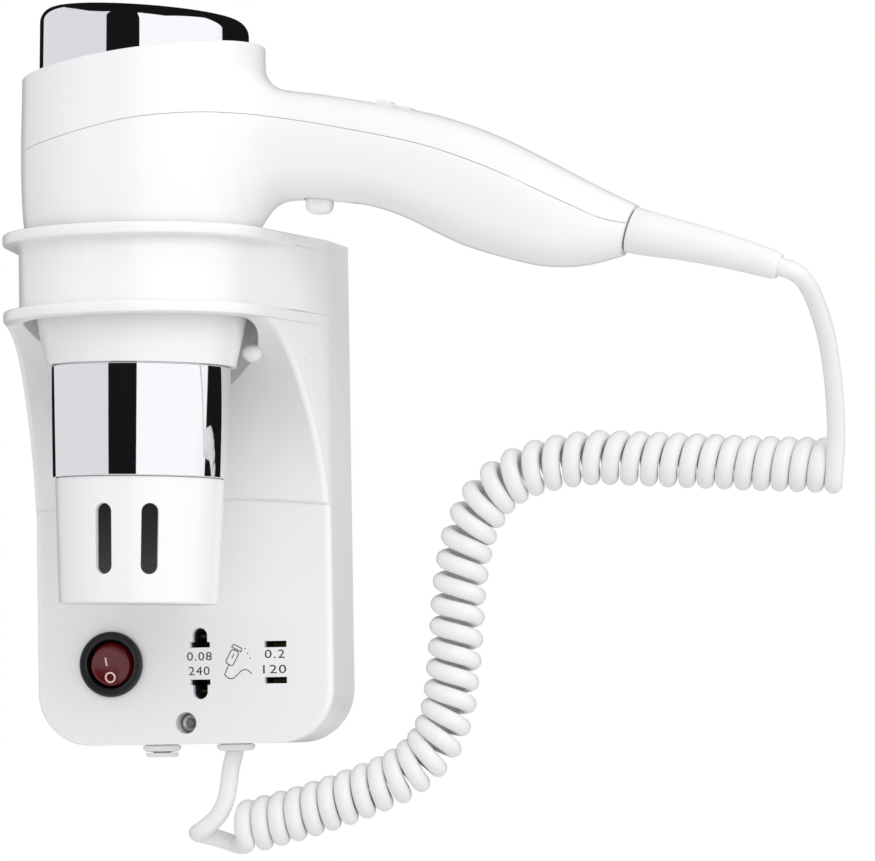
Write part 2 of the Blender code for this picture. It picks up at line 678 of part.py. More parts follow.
def dryer_shells(frame, knob_frame):
    front = shell("front_shell", -1, frame)
    screw = [(0, 128), (3.3, 128), (3.3, 140.2), (1.65, 140.2), (1.65, 165), (0, 165)]
    screw_at = (HANDLE_SCREW_X, 0.0, 0.0)
    trigger = box((TRIGGER_X - 5.0, -4.4, 128), (TRIGGER_X + 5.0, 4.4, 146))
    cut(front, helper("front_screw_cutter", turned(screw, screw_at, segments=20), frame))
    cut(front, helper("trigger_cutter", trigger, frame))
    rear = shell("rear_shell", 1, frame)
    cut(rear, helper("rear_screw_cutter", cylinder(1.65, 140, 167.5, screw_at, segments=20), frame))
    cut(rear, helper("rear_rim_cutter", above_rear_rim(), frame))
    recess = prism(rounded_rectangle((-25.5, -4.6), (7.4, 4.6), 3.0), 0.0, 8.0, "Z")
    slot = box((-8.6, -1.9, -6.0), (1.9, 1.9, 4.0))
    cut(rear, helper("recess_cutter", recess, knob_frame), helper("slot_cutter", slot, knob_frame))


def handle_screw(frame):
    profile = [(0, 137.6), (1.0, 137.6), (1.0, 138.4), (2.4, 137.7), (2.9, 138.6), (2.9, 139.9), (1.3, 139.9),
               (1.3, 166.6), (0, 167.0)]
    mesh_object("handle_screw", turned(profile, (HANDLE_SCREW_X, 0.0, 0.0), segments=16), "steel", frame)


# ---------------------------------------------------------------- rear end: ring, grille, filter

def sheared(shape, from_height, slope):
    """Tilts everything above a height, by sliding points up or down in proportion to their x."""
    points, faces = shape
    moved = [Vector((p[0], p[1], p[2] + (slope * p[0] if p[2] > from_height else 0.0))) for p in points]
    return moved, faces


def polar_grille(radii, sectors, low, high, spokes, bars):
    """A flat round grille: the cells of a polar grid that lie on a spoke or on a bar are solid."""
    def solid(ring, sector):
        return 0 <= ring < len(radii) - 1 and (bars[ring] or sector % spokes == 0)

    points = []
    for z in (low, high):
        for radius in radii:
            for i in range(sectors):
                angle = math.tau * i / sectors
                points.append(Vector((radius * math.cos(angle), radius * math.sin(angle), z)))
    layer = len(radii) * sectors

    def at(ring, sector, top):
        return ring * sectors + sector % sectors + (layer if top else 0)

    faces = []
    for ring in range(len(radii) - 1):
        for i in range(sectors):
            if not solid(ring, i):
                continue
            for top in (False, True):
                faces.append((at(ring, i, top), at(ring, i + 1, top), at(ring + 1, i + 1, top), at(ring + 1, i, top)))
            for other in (ring - 1, ring + 1):
                edge = ring if other < ring else ring + 1
                if not solid(other, i):
                    faces.append((at(edge, i, False), at(edge, i + 1, False), at(edge, i + 1, True), at(edge, i, True)))
            for step in (-1, 1):
                edge = i if step < 0 else i + 1
                if not solid(ring, (i + step) % sectors):
                    faces.append((at(ring, edge, False), at(ring + 1, edge, False), at(ring + 1, edge, True),
                                  at(ring, edge, True)))
    used = sorted({i for face in faces for i in face})
    index = {old: new for new, old in enumerate(used)}
    return [points[i] for i in used], [tuple(index[i] for i in face) for face in faces]


def rear_end(frame):
    radius = REAR_RING_RADIUS
    top = REAR_RING_TOP
    profile = [
        (radius, 174), (radius, 185), (radius, top - 5.4), (radius - 0.7, top - 3.0), (radius - 2.2, top - 1.1),
        (radius - 4.4, top), (radius - 4.4, top - 1.6), (radius - 1.6, top - 5), (radius - 1.6, 174),
    ]
    mesh_object("rear_cap_ring", sheared(turned(profile), 190, REAR_RING_SLOPE), "chrome", frame)
    radii = [7.0, 12.6, 15.4, 21.0, 23.8, 29.6, 33.7]
    bars = [True, False, True, False, True, True]
    grille = polar_grille(radii, ROUND, top - 8.6, top - 6.4, 10, bars)
    mesh_object("inlet_grille", sheared(grille, 190, REAR_RING_SLOPE), "dark_plastic", frame)
    disc = cylinder(33.6, 190.5, 191.6, segments=ROUND)
    mesh_object("inlet_filter", sheared(disc, 190, REAR_RING_SLOPE), "steel", frame)


# ---------------------------------------------------------------- fan and motor

def fan_blades():
    blades = []
    for k in range(7):
        turn = Matrix.Rotation(math.tau * k / 7, 3, "Z")
        rings = []
        for radius, pitch, chord in ((10.5, 50, 11.0), (21, 38, 13.0), (32.4, 28, 14.0)):
            lean = math.radians(pitch)
            ring = []
            for side, offset in ((-1, -0.5), (1, -0.5), (1, 0.5), (-1, 0.5)):
                along = side * chord / 2
                y = along * math.cos(lean) - offset * math.sin(lean)
                z = along * math.sin(lean) + offset * math.cos(lean)
                ring.append(turn @ Vector((radius, y, 147.0 + z)))
            rings.append(ring)
        blades.append(loft(rings))
    return merged(*blades)


def duct_vanes():
    vanes = []
    for k in range(5):
        turn = Matrix.Rotation(math.tau * (k + 0.5) / 5, 3, "Z")
        points, faces = box((16.4, -0.6, 114), (34.0, 0.6, 128))
        vanes.append(([turn @ point for point in points], faces))
    return merged(*vanes)


def fan_and_motor(frame):
    hub = [(1.8, 141), (10.0, 141), (11.5, 142.5), (11.5, 151), (9.5, 153), (1.8, 153)]
    fan = mesh_object("fan_impeller", turned(hub, segments=28), "dark_plastic", frame)
    join(fan, helper("fan_blades_helper", fan_blades(), frame))
    duct = mesh_object("fan_duct", turned([(33.6, 112), (34.3, 112), (35.2, 122), (37.0, 134), (37.0, 158), (36.0, 158),
                                           (36.0, 134), (34.3, 122)], segments=28), "dark_plastic", frame)
    cup = [(15.2, 108), (16.8, 108), (16.8, 133), (15.2, 133)]
    join(duct, helper("duct_cup_helper", turned(cup, segments=28), frame), helper("duct_vane_helper", duct_vanes(), frame))
    mesh_object("motor_can", turned([(0, 104.3), (13.2, 104.3), (14.6, 106), (14.6, 130), (13.6, 132), (4, 132), (4, 134),
                                     (0, 134)], segments=32), "steel", frame)
    mesh_object("motor_shaft", cylinder(1.5, 134.3, 155, segments=14), "steel", frame)
    mesh_object("motor_end_cap", cylinder(13.4, 101.4, 104.0, segments=32), "dark_plastic", frame)
    mesh_object("rectifier_board", cylinder(11.5, 99.2, 101.1, segments=24), "mica", frame)


# ---------------------------------------------------------------- heater and outlet

def heater(frame):
    mesh_object("mica_sleeve", turned([(27.3, 57), (27.9, 57), (27.9, 97), (27.3, 97)]), "mica", frame)
    wide, thin = 23.4, 0.5
    cross = [
        (wide, thin), (thin, thin), (thin, wide), (-thin, wide), (-thin, thin), (-wide, thin),
        (-wide, -thin), (-thin, -thin), (-thin, -wide), (thin, -wide), (thin, -thin), (wide, -thin),
    ]
    mesh_object("heater_frame", prism(cross, 58, 96), "mica", frame)
    turns, steps = 6, 12
    coil = []
    for i in range(turns * steps + 1):
        angle = math.tau * i / steps
        coil.append((24.9 * math.cos(angle), 24.9 * math.sin(angle), 62 + 30 * i / (turns * steps)))
    tube("heating_coil", coil, 0.6, "nichrome", frame, sides=0)
    mesh_object("thermostat", box((5, 0.9, 84), (15, 7, 90)), "black", frame)
    mesh_object("thermal_fuse", cylinder(1.8, 66, 78, (-9, 2.7, 0), segments=12), "steel", frame)


def outlet_end(frame, tip_frame):
    band = [
        (28.7, 88), (29.9, 88), (29.9, BAND_TOP), (30.9, BAND_TOP), (29.75, BAND_BOTTOM), (28.6, BAND_BOTTOM),
        (28.6, 52), (29.0, 62),
    ]
    mesh_object("chrome_barrel", turned(band, segments=48), "chrome", frame)
    radii = [5.0, 10.5, 13.0, 18.5, 21.0, 26.2, 28.2]
    grille = polar_grille(radii, 24, 52.5, 54.3, 6, [True, False, True, False, True, True])
    mesh_object("outlet_grille", grille, "dark_plastic", frame)
    tip = [
        (28.9, 42.8), (28.2, 42.8), (28.2, 50.5), (26.9, 50.5), (26.8, 42), (25.3, 1.2), (25.6, 0.1), (26.4, 0.0),
        (27.0, 0.6), (27.2, 2.0),
    ]
    nozzle = mesh_object("nozzle_tip", turned(tip, segments=48), "white", tip_frame)
    outline = []
    half = SLOT_WIDTH / 2
    for centre, start in ((SLOT_HIGH - half, 0), (SLOT_LOW + half, 180)):
        for i in range(5):
            angle = math.radians(start + 45 * i)
            outline.append((half * math.cos(angle), centre + half * math.sin(angle)))
    slots = []
    for middle in (SLOT_CENTRE_ANGLE, SLOT_CENTRE_ANGLE + 180):
        for side in (-1, 1):
            turn = Matrix.Rotation(math.radians(middle + side * SLOT_HALF_SPACING), 3, "Z")
            points, faces = prism(outline, -32, -22, "Y")
            slots.append(([turn @ point for point in points], faces))
    cut(nozzle, helper("nozzle_slot_cutter", merged(*slots), tip_frame))


# ---------------------------------------------------------------- handle parts

def trigger(frame):
    x = TRIGGER_X
    rings = []
    for z, length, width in ((133.0, 2.6, 2.0), (133.5, 3.9, 3.2), (134.8, 4.6, 3.9), (141.3, 4.6, 3.9), (141.3, 6.2, 5.3),
                             (142.9, 6.2, 5.3)):
        outline = rounded_rectangle((x - length, -width), (x + length, width), width * 0.6, 3)
        rings.append([Vector((a, b, z)) for a, b in outline])
    mesh_object("trigger_button", loft(rings), "white", frame, origin=(x, 0.0, 133.0))
    turns, steps = 4, 9
    spring = []
    for i in range(turns * steps + 1):
        angle = math.tau * i / steps
        spring.append((x + 2.2 * math.cos(angle), 2.2 * math.sin(angle), 143.6 + 4.9 * i / (turns * steps)))
    tube("trigger_spring", spring, 0.3, "steel", frame, sides=0)
    mesh_object("trigger_switch", box((x - 9, -4.5, 149.2), (x + 9, 4.5, 158.0)), "black", frame)


def slide_switch(knob_frame):
    base = [(-6.1, 0.3), (6.4, 0.3), (6.4, 1.1), (5.9, 1.5), (-0.9, 1.5), (-1.2, 2.4), (-5.6, 2.4), (-6.1, 1.9)]
    knob = mesh_object("slide_knob", prism(base, -3.4, 3.4, "Y"), "white", knob_frame)
    join(knob, helper("knob_stem_helper", box((-1.5, -1.5, -3.4), (1.5, 1.5, 0.6)), knob_frame))
    mesh_object("slide_switch_body", box((-5.8, -4.2, -11.5), (11.0, 4.2, -3.8)), "black", knob_frame)


def cord_boot(frame):
    slope = math.radians(BOOT_SLOPE)
    rings = []
    for x, height, radius in BOOT_STATIONS:
        ring = []
        for i in range(24):
            angle = math.tau * i / 24
            up = radius * math.sin(angle)
            ring.append(Vector((x + up * math.sin(slope), radius * math.cos(angle), height + up * math.cos(slope))))
        rings.append(ring)
    mesh_object("cord_boot", loft(rings), "white_soft", frame)


# ---------------------------------------------------------------- cord

def cord():
    tube("cord_tail_handle", smooth_route(HANDLE_TAIL, 3.6), CORD_RADIUS, "white_soft", sides=1)
    coil = smooth_route([(x, -COIL_DEPTH, z) for x, z in COIL_ROUTE], 9.0)
    tube("cord_coil", coil, COIL_RADIUS, "white_soft", sides=2)
    tube("cord_tail_base", smooth_route(BASE_TAIL, 6.0), CORD_RADIUS, "white_soft", sides=1)


def build():
    holder_housing()
    back_plate()
    cover_screw()
    rocker_switch()
    shaver_outlet()
    transformer()
    terminal_block()
    bottom_bushes()
    frame = empty("dryer_frame", DRYER_ORIGIN, (0, DRYER_LEAN, 0))
    tip_frame = empty("nozzle_tip_frame", (0, 0, 0), (0, 0, 0), frame)
    knob_frame = empty("slide_knob_frame", KNOB_ORIGIN, (0, KNOB_SLOPE, 0), frame)
    dryer_shells(frame, knob_frame)
    handle_screw(frame)
    rear_end(frame)
    fan_and_motor(frame)
    heater(frame)
    outlet_end(frame, tip_frame)
    trigger(frame)
    slide_switch(knob_frame)
    cord_boot(frame)
    cord()


clear_scene()
MATERIALS = {name: make_material(name, *finish) for name, finish in FINISHES.items()}
build()
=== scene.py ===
"""The wall-mounted hair dryer as photographed: finer surfaces, finishes, the curly cord, camera and light.

The helpers take millimetres and degrees, and a mesh is in metres once it is made. The frame is the CAD's: the
origin is on the wall behind the holder's centre, +X right, +Z up, and the holder stands out toward -Y.
"""

import math

import bmesh
import bpy
from mathutils import Matrix, Vector


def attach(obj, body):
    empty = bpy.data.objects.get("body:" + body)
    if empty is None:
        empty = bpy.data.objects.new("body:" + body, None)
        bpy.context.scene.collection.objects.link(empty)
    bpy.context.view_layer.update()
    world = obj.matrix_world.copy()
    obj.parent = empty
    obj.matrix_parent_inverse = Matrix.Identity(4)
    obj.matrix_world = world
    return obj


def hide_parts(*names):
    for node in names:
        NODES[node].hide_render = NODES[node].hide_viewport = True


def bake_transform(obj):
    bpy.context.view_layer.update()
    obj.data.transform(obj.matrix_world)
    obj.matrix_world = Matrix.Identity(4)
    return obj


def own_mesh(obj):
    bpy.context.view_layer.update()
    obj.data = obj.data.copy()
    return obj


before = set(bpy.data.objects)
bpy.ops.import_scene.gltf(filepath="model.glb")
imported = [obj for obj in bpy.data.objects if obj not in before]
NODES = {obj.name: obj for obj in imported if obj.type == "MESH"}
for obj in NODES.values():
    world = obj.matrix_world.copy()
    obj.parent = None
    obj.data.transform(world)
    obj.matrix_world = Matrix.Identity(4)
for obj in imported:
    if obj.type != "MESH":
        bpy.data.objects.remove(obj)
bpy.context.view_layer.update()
scene = bpy.context.scene

MM = 0.001
ROUND = 160

# ---------------------------------------------------------------- camera

camera = bpy.data.objects.new("photo_camera", bpy.data.cameras.new("photo_camera"))
scene.collection.objects.link(camera)
camera.data.sensor_width = 36.0
camera.data.sensor_fit = "HORIZONTAL"
camera.data.lens = 205.714
camera.data.clip_start = 0.05
camera.data.clip_end = 60.0
camera.matrix_world = (
    Matrix.Translation((0.5131, -1.7078, -0.085))
    @ Matrix.Rotation(math.radians(14.05), 4, "Z")
    @ Matrix.Rotation(math.radians(93.38), 4, "X")
    @ Matrix.Rotation(math.radians(-0.93), 4, "Z")
)
scene.camera = camera

# ---------------------------------------------------------------- sizes shared with the CAD

HALF_WIDTH = 54.0
TOP = 85.0
BOTTOM = -90.0
BOX_DEPTH = 29.5
BOX_CORNER = 19.0
WALL = 2.5
EDGE_ROUND = 2.2
LEDGE_Z = -6.3
LEDGE_ARCH = 2.9
NICHE_TOP = 54.6
COLLAR_DEPTH = 74.0
COLLAR_RADIUS = 41.5
COLLAR_TAPER = 16.7
FLANGE_RADIUS = 47.0
FLANGE_TAPER = 8.3
FLANGE_HEIGHT = 3.9
BORE_RADIUS = 39.2
MOUTH_RADIUS = 43.3
SIDE_EDGE = [
    (-20.0, 29.5), (-6.3, 31.5), (3.3, 33.4), (11.9, 37.1), (19.1, 40.6), (31.2, 48.7), (41.3, 57.2),
    (48.7, 66.5), (52.0, 73.5), (54.0, 80.0), (54.6, 84.0), (56.0, 95.0),
]
NICHE_BACK = [
    (-20.0, 30.0), (-3.0, 30.7), (10.0, 31.3), (22.0, 33.0), (30.0, 35.4), (36.0, 38.2), (41.0, 42.2),
    (46.0, 48.6), (50.0, 56.5), (52.6, 65.0), (54.0, 75.0), (54.6, 84.0), (56.0, 95.0),
]
ROCKER = (-26.3, -27.0, -61.6)
OUTLET_Z = -61.9
ROUND_PIN_X = 6.15
FLAT_PIN_X = 33.6
FLAT_PIN_SPACING = 12.6
COVER_SCREW = (0.7, 0.0, -82.6)
GLAND_X = -12.6
CORD_BUSH_X = 14.6
BUSH_DEPTH = 15.0

BODY_OUTLINE = [
    (32.0, 70.0), (32.6, 81.4), (34.6, 91.0), (36.2, 100.0), (37.4, 116.0), (38.1, 121.0), (39.5, 125.0),
    (40.5, 128.5), (41.1, 134.0), (41.7, 145.0), (41.9, 158.0), (41.8, 172.0), (41.6, 202.0),
]
HANDLE_TOP = [
    (30, 189), (35, 190), (38.0, 189.4), (40.3, 186.0), (42.6, 181.4), (46.6, 177.2), (51.4, 175.5),
    (64.8, 173.7), (83.5, 170.5), (96, 167.9), (108, 164.9), (122, 160.0), (136.6, 153.2), (159.8, 141.0),
    (173.5, 134.3), (186, 128.5),
]
HANDLE_BOTTOM = [
    (30, 126), (36, 127.5), (41.4, 129.0), (43.6, 132.9), (48.9, 137.0), (58, 137.9), (76, 136.4),
    (85, 134.4), (95.4, 130.4), (105, 125.6), (115.3, 121.0), (137, 114.9), (148, 113.8), (158.2, 114.7),
    (173, 118.4), (186, 120.5),
]
HANDLE_HALF_DEPTH = [
    (30, 20.5), (38, 20.0), (43, 18.4), (51, 17.2), (65, 16.7), (96, 16.9), (117, 17.2), (138, 16.0),
    (158, 12.4), (173, 8.6), (186, 6.5),
]
PARTING_LINE = [
    (-60, 152.4), (-41, 153.6), (-24, 156.0), (-8, 159.2), (7, 162.4), (20, 164.2), (33, 165.6),
    (40, 165.8), (51, 164.6), (67, 162.0), (99.4, 155.2), (115, 150.3), (129.7, 144.4), (154, 133.0),
    (163, 129.1), (172, 127.4), (190, 127.0),
]
BOOT_STATIONS = [
    (162.5, 128.4, 5.6), (171.4, 126.0, 5.6), (171.5, 126.0, 7.7), (172.0, 125.9, 7.9), (180.0, 123.9, 7.3),
    (188.0, 122.3, 6.7), (196.0, 120.4, 6.2), (203.0, 118.6, 5.8), (210.0, 116.6, 5.4),
    (216.0, 114.8, 5.05), (219.8, 113.6, 4.8), (221.0, 113.2, 4.45), (221.7, 113.0, 4.0),
]
TRIGGER_X = 63.05
HANDLE_SCREW_X = 78.0
TIP_SLOT_TURN = 8.4
TIP_SLOT_HALF_SPACING = 16.35
CAP_SLOPE = -0.061
SHELL_WALL = 2.2

DRYER = Matrix.Translation((-2.13, -74.0, -42.0)) @ Matrix.Rotation(math.radians(1.4), 4, "Y")
KNOB = DRYER @ Matrix.Translation((89.4, 0.0, 168.1)) @ Matrix.Rotation(math.radians(10.6), 4, "Y")
ROCKER_FRAME = (
    Matrix.Translation(ROCKER)
    @ Matrix.Rotation(math.radians(-5), 4, "Y")
    @ Matrix.Rotation(math.radians(9), 4, "X")
)
WORLD = Matrix.Identity(4)


# ---------------------------------------------------------------- finishes

def finish(name, colour, roughness, metallic=0.0, grain=0.8, depth=0.004, edge=0.0, coat=0.0, uneven=0.04,
           subsurface=0.0, streaks=None):
    """A finish whose grain is in millimetres: noise moves the roughness and, through a bump, the normal."""
    material = bpy.data.materials.new(name)
    material.use_nodes = True
    nodes, links = material.node_tree.nodes, material.node_tree.links
    shader = nodes["Principled BSDF"]
    shader.inputs["Base Color"].default_value = (*colour, 1.0)
    shader.inputs["Roughness"].default_value = roughness
    shader.inputs["Metallic"].default_value = metallic
    shader.inputs["Coat Weight"].default_value = coat
    shader.inputs["Coat Roughness"].default_value = 0.06
    if subsurface:
        shader.inputs["Subsurface Weight"].default_value = subsurface
        shader.inputs["Subsurface Radius"].default_value = (1.0, 0.9, 0.85)
        shader.inputs["Subsurface Scale"].default_value = 0.0012
    place = nodes.new("ShaderNodeTexCoord")
    mapping = nodes.new("ShaderNodeMapping")
    mapping.inputs["Scale"].default_value = streaks or (1.0, 1.0, 1.0)
    noise = nodes.new("ShaderNodeTexNoise")
    noise.inputs["Scale"].default_value = 1000.0 / grain
    noise.inputs["Detail"].default_value = 3.0
    cloud = nodes.new("ShaderNodeTexNoise")
    cloud.inputs["Scale"].default_value = 55.0
    cloud.inputs["Detail"].default_value = 4.0
    spread = nodes.new("ShaderNodeMapRange")
    spread.inputs["From Min"].default_value = 0.3
    spread.inputs["From Max"].default_value = 0.7
    spread.inputs["To Min"].default_value = max(roughness - uneven, 0.01)
    spread.inputs["To Max"].default_value = roughness + uneven
    bump = nodes.new("ShaderNodeBump")
    bump.inputs["Distance"].default_value = depth * MM
    bump.inputs["Strength"].default_value = 1.0
    links.new(place.outputs["Object"], mapping.inputs["Vector"])
    links.new(mapping.outputs["Vector"], noise.inputs["Vector"])
    links.new(mapping.outputs["Vector"], cloud.inputs["Vector"])
    links.new(cloud.outputs["Fac"], spread.inputs["Value"])
    links.new(spread.outputs["Result"], shader.inputs["Roughness"])
    links.new(noise.outputs["Fac"], bump.inputs["Height"])
    if edge:
        bevel = nodes.new("ShaderNodeBevel")
        bevel.samples = 4
        bevel.inputs["Radius"].default_value = edge * MM
        links.new(bevel.outputs["Normal"], bump.inputs["Normal"])
    links.new(bump.outputs["Normal"], shader.inputs["Normal"])
    return material


FINISH = {
    "white_gloss": finish("white_gloss_moulding", (0.88, 0.88, 0.885), 0.26, edge=0.3, grain=1.1,
        depth=0.002, uneven=0.015),
    "white_satin": finish("white_satin_moulding", (0.86, 0.86, 0.865), 0.42, edge=0.3, grain=0.5,
        depth=0.006),
    "cord": finish("white_cord_pvc", (0.86, 0.86, 0.855), 0.34, grain=0.9, depth=0.006, uneven=0.06),
    "chrome": finish("chrome_plate", (0.86, 0.86, 0.87), 0.035, 1.0, grain=2.5, depth=0.0006, uneven=0.012),
    "black_plastic": finish("black_bezel_plastic", (0.007, 0.007, 0.008), 0.42, edge=0.2, grain=0.35,
        depth=0.012),
    "dark_plastic": finish("dark_grille_plastic", (0.05, 0.046, 0.046), 0.5, edge=0.2, grain=0.4, depth=0.01),
    "red_rocker": finish("red_rocker_plastic", (0.115, 0.006, 0.008), 0.2, coat=0.3, edge=0.4, grain=1.0,
        depth=0.003),
    "steel": finish("zinc_plated_steel", (0.55, 0.55, 0.56), 0.32, 1.0, grain=0.4, depth=0.006,
        streaks=(1, 1, 6)),
    # Painted shade: the outlet's brass contacts are darkened to near black, as the shade inside the socket's
    # slots.
    "brass": finish("contact_brass_painted_shade", (0.16, 0.11, 0.05), 0.45, 1.0, grain=0.4, depth=0.004,
        streaks=(1, 5, 1)),
    "copper": finish("winding_copper", (0.62, 0.30, 0.16), 0.32, 1.0, grain=0.4, depth=0.03,
        streaks=(0.1, 0.1, 3)),
    "mica": finish("mica_board", (0.50, 0.42, 0.32), 0.5, grain=1.6, depth=0.02, uneven=0.12),
    "nichrome": finish("nichrome_wire", (0.33, 0.31, 0.30), 0.42, 1.0, grain=0.3, depth=0.004),
    # Painted shade: the nozzle's inner wall is white plastic, painted dark grey for the shade deep inside it.
    "inside": finish("nozzle_inside_painted_shade", (0.13, 0.115, 0.115), 0.6, grain=0.5, depth=0.004),
    "ink": finish("printed_ink", (0.03, 0.03, 0.032), 0.55, grain=0.2, depth=0.002),
    "mark": finish("rocker_mark_paint", (0.85, 0.62, 0.60), 0.5, grain=0.2, depth=0.002),
}


# ---------------------------------------------------------------- geometry helpers

def axis_point(axis, across, up, along):
    """A point from an outline's two coordinates and the one along its axis of extrusion or turning."""
    if axis == "X":
        return Vector((along, across, up))
    if axis == "Y":
        return Vector((across, along, up))
    return Vector((across, up, along))


def loft(rings):
    count = len(rings[0])
    points = [point for ring in rings for point in ring]
    faces = []
    for level in range(len(rings) - 1):
        low, high = level * count, (level + 1) * count
        for i in range(count):
            j = (i + 1) % count
            faces.append((low + i, low + j, high + j, high + i))
    faces.append(tuple(range(count)))
    faces.append(tuple((len(rings) - 1) * count + i for i in range(count)))
    return points, faces


def prism(outline, low, high, axis="Z"):
    return loft([[axis_point(axis, a, b, t) for a, b in outline] for t in (low, high)])


def box(low, high):
    outline = [(low[0], low[1]), (high[0], low[1]), (high[0], high[1]), (low[0], high[1])]
    return prism(outline, low[2], high[2])


def turned(profile, centre=(0.0, 0.0, 0.0), axis="Z", segments=ROUND):
    """A closed outline of (radius, distance along the axis) points, turned about an axis through centre."""
    points, rings, faces = [], [], []
    for radius, along in profile:
        if radius == 0:
            rings.append([len(points)] * segments)
            points.append(axis_point(axis, 0, 0, along) + Vector(centre))
            continue
        rings.append(range(len(points), len(points) + segments))
        for i in range(segments):
            angle = math.tau * i / segments
            across, up = radius * math.cos(angle), radius * math.sin(angle)
            points.append(axis_point(axis, across, up, along) + Vector(centre))
    for low, high in zip(rings, rings[1:] + rings[:1]):
        for i in range(segments):
            j = (i + 1) % segments
            corners = list(dict.fromkeys((low[i], low[j], high[j], high[i])))
            if len(corners) > 2:
                faces.append(tuple(corners))
    return points, faces


def cylinder(radius, low, high, centre=(0.0, 0.0, 0.0), axis="Z", segments=64):
    return turned([(0, low), (radius, low), (radius, high), (0, high)], centre, axis, segments)


def rounded(profile, radius, steps=5):
    """The closed outline with an arc at each corner that has a third item, its share of radius."""
    found = []
    count = len(profile)
    for k, corner in enumerate(profile):
        if len(corner) < 3:
            found.append(corner)
            continue
        here = Vector(corner[:2])
        back = Vector(profile[(k - 1) % count][:2]) - here
        ahead = Vector(profile[(k + 1) % count][:2]) - here
        reach = min(radius * corner[2], back.length * 0.48, ahead.length * 0.48)
        start, end = here + back.normalized() * reach, here + ahead.normalized() * reach
        for i in range(steps + 1):
            t = i / steps
            point = start * (1 - t) ** 2 + here * 2 * t * (1 - t) + end * t**2
            found.append((point.x, point.y))
    return found


def rounded_rectangle(low, high, radius, steps=10):
    corners = [
        (high[0] - radius, low[1] + radius, -90), (high[0] - radius, high[1] - radius, 0),
        (low[0] + radius, high[1] - radius, 90), (low[0] + radius, low[1] + radius, 180),
    ]
    outline = []
    for x, z, start in corners:
        for i in range(steps + 1):
            angle = math.radians(start + 90 * i / steps)
            outline.append((x + radius * math.cos(angle), z + radius * math.sin(angle)))
    return outline


def smooth_curve(points, x):
    """The height at x of a smooth line through (x, height) points."""
    last = len(points) - 2
    k = next((i for i in range(last + 1) if x <= points[i + 1][0]), last)
    before, start = points[max(k - 1, 0)], points[k]
    end, after = points[k + 1], points[min(k + 2, last + 1)]
    width = end[0] - start[0]
    t = (x - start[0]) / width
    slope_in = (end[1] - before[1]) / (end[0] - before[0]) * width
    slope_out = (after[1] - start[1]) / (after[0] - start[0]) * width
    return (
        start[1] * (2 * t**3 - 3 * t**2 + 1) + slope_in * (t**3 - 2 * t**2 + t)
        + end[1] * (3 * t**2 - 2 * t**3) + slope_out * (t**3 - t**2)
    )


def smooth_route(points, spacing):
    """Evenly spaced points on a smooth line through the route's own points."""
    route = [Vector(point) for point in points]
    padded = [2 * route[0] - route[1], *route, 2 * route[-1] - route[-2]]
    fine = []
    for k in range(1, len(padded) - 2):
        a, b, c, d = padded[k - 1:k + 3]
        for step in range(40):
            t = step / 40
            fine.append(0.5 * (
                2 * b + (c - a) * t + (2 * a - 5 * b + 4 * c - d) * t**2
                + (3 * b - a - 3 * c + d) * t**3
            ))
    fine.append(route[-1])
    lengths = [0.0]
    for a, b in zip(fine, fine[1:]):
        lengths.append(lengths[-1] + (b - a).length)
    count = max(2, round(lengths[-1] / spacing))
    found = []
    k = 0
    for i in range(count + 1):
        target = lengths[-1] * i / count
        while k < len(fine) - 2 and lengths[k + 1] < target:
            k += 1
        span = max(lengths[k + 1] - lengths[k], 1e-9)
        found.append(fine[k].lerp(fine[k + 1], (target - lengths[k]) / span))
    return found


def merged(*pieces):
    points, faces = [], []
    for piece_points, piece_faces in pieces:
        base = len(points)
        points += piece_points
        faces += [tuple(base + i for i in face) for face in piece_faces]
    return points, faces


def raw(name, shape, matrix=WORLD):
    """A mesh object from points in millimetres in the frame of matrix, with its faces turned outward."""
    points, faces = shape
    mesh = bpy.data.meshes.new(name)
    mesh.from_pydata([(matrix @ Vector(point)) * MM for point in points], [], faces)
    work = bmesh.new()
    work.from_mesh(mesh)
    bmesh.ops.recalc_face_normals(work, faces=work.faces)
    work.to_mesh(mesh)
    work.free()
    obj = bpy.data.objects.new(name, mesh)
    scene.collection.objects.link(obj)
    return obj


def settle(obj):
    """Applies the modifiers that the object holds."""
    graph = bpy.context.evaluated_depsgraph_get()
    mesh = bpy.data.meshes.new_from_object(obj.evaluated_get(graph))
    obj.modifiers.clear()
    obj.data = mesh
    return obj


def shape_with(obj, operation, *shapes, matrix=WORLD, solver="MANIFOLD"):
    helpers = [raw("helper", shape, matrix) for shape in shapes]
    for other in helpers:
        modifier = obj.modifiers.new("shape", "BOOLEAN")
        modifier.operation = operation
        modifier.solver = solver
        modifier.object = other
    settle(obj)
    for other in helpers:
        bpy.data.objects.remove(other)
    return obj


def cut(obj, *shapes, matrix=WORLD):
    return shape_with(obj, "DIFFERENCE", *shapes, matrix=matrix)


def join(obj, *shapes, matrix=WORLD):
    return shape_with(obj, "UNION", *shapes, matrix=matrix)


def piece(obj, slot, body, nodes=(), sharp=35, material=None):
    """Gives a mesh its finish and its place on a body, and hides the CAD nodes that it stands for."""
    obj.data.materials.clear()
    obj.data.materials.append(FINISH[material or slot])
    obj.data.shade_smooth()
    obj.data.set_sharp_from_angle(angle=math.radians(sharp))
    if nodes:
        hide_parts(*nodes)
    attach(obj, body)
    return obj


# ---------------------------------------------------------------- the curly cord

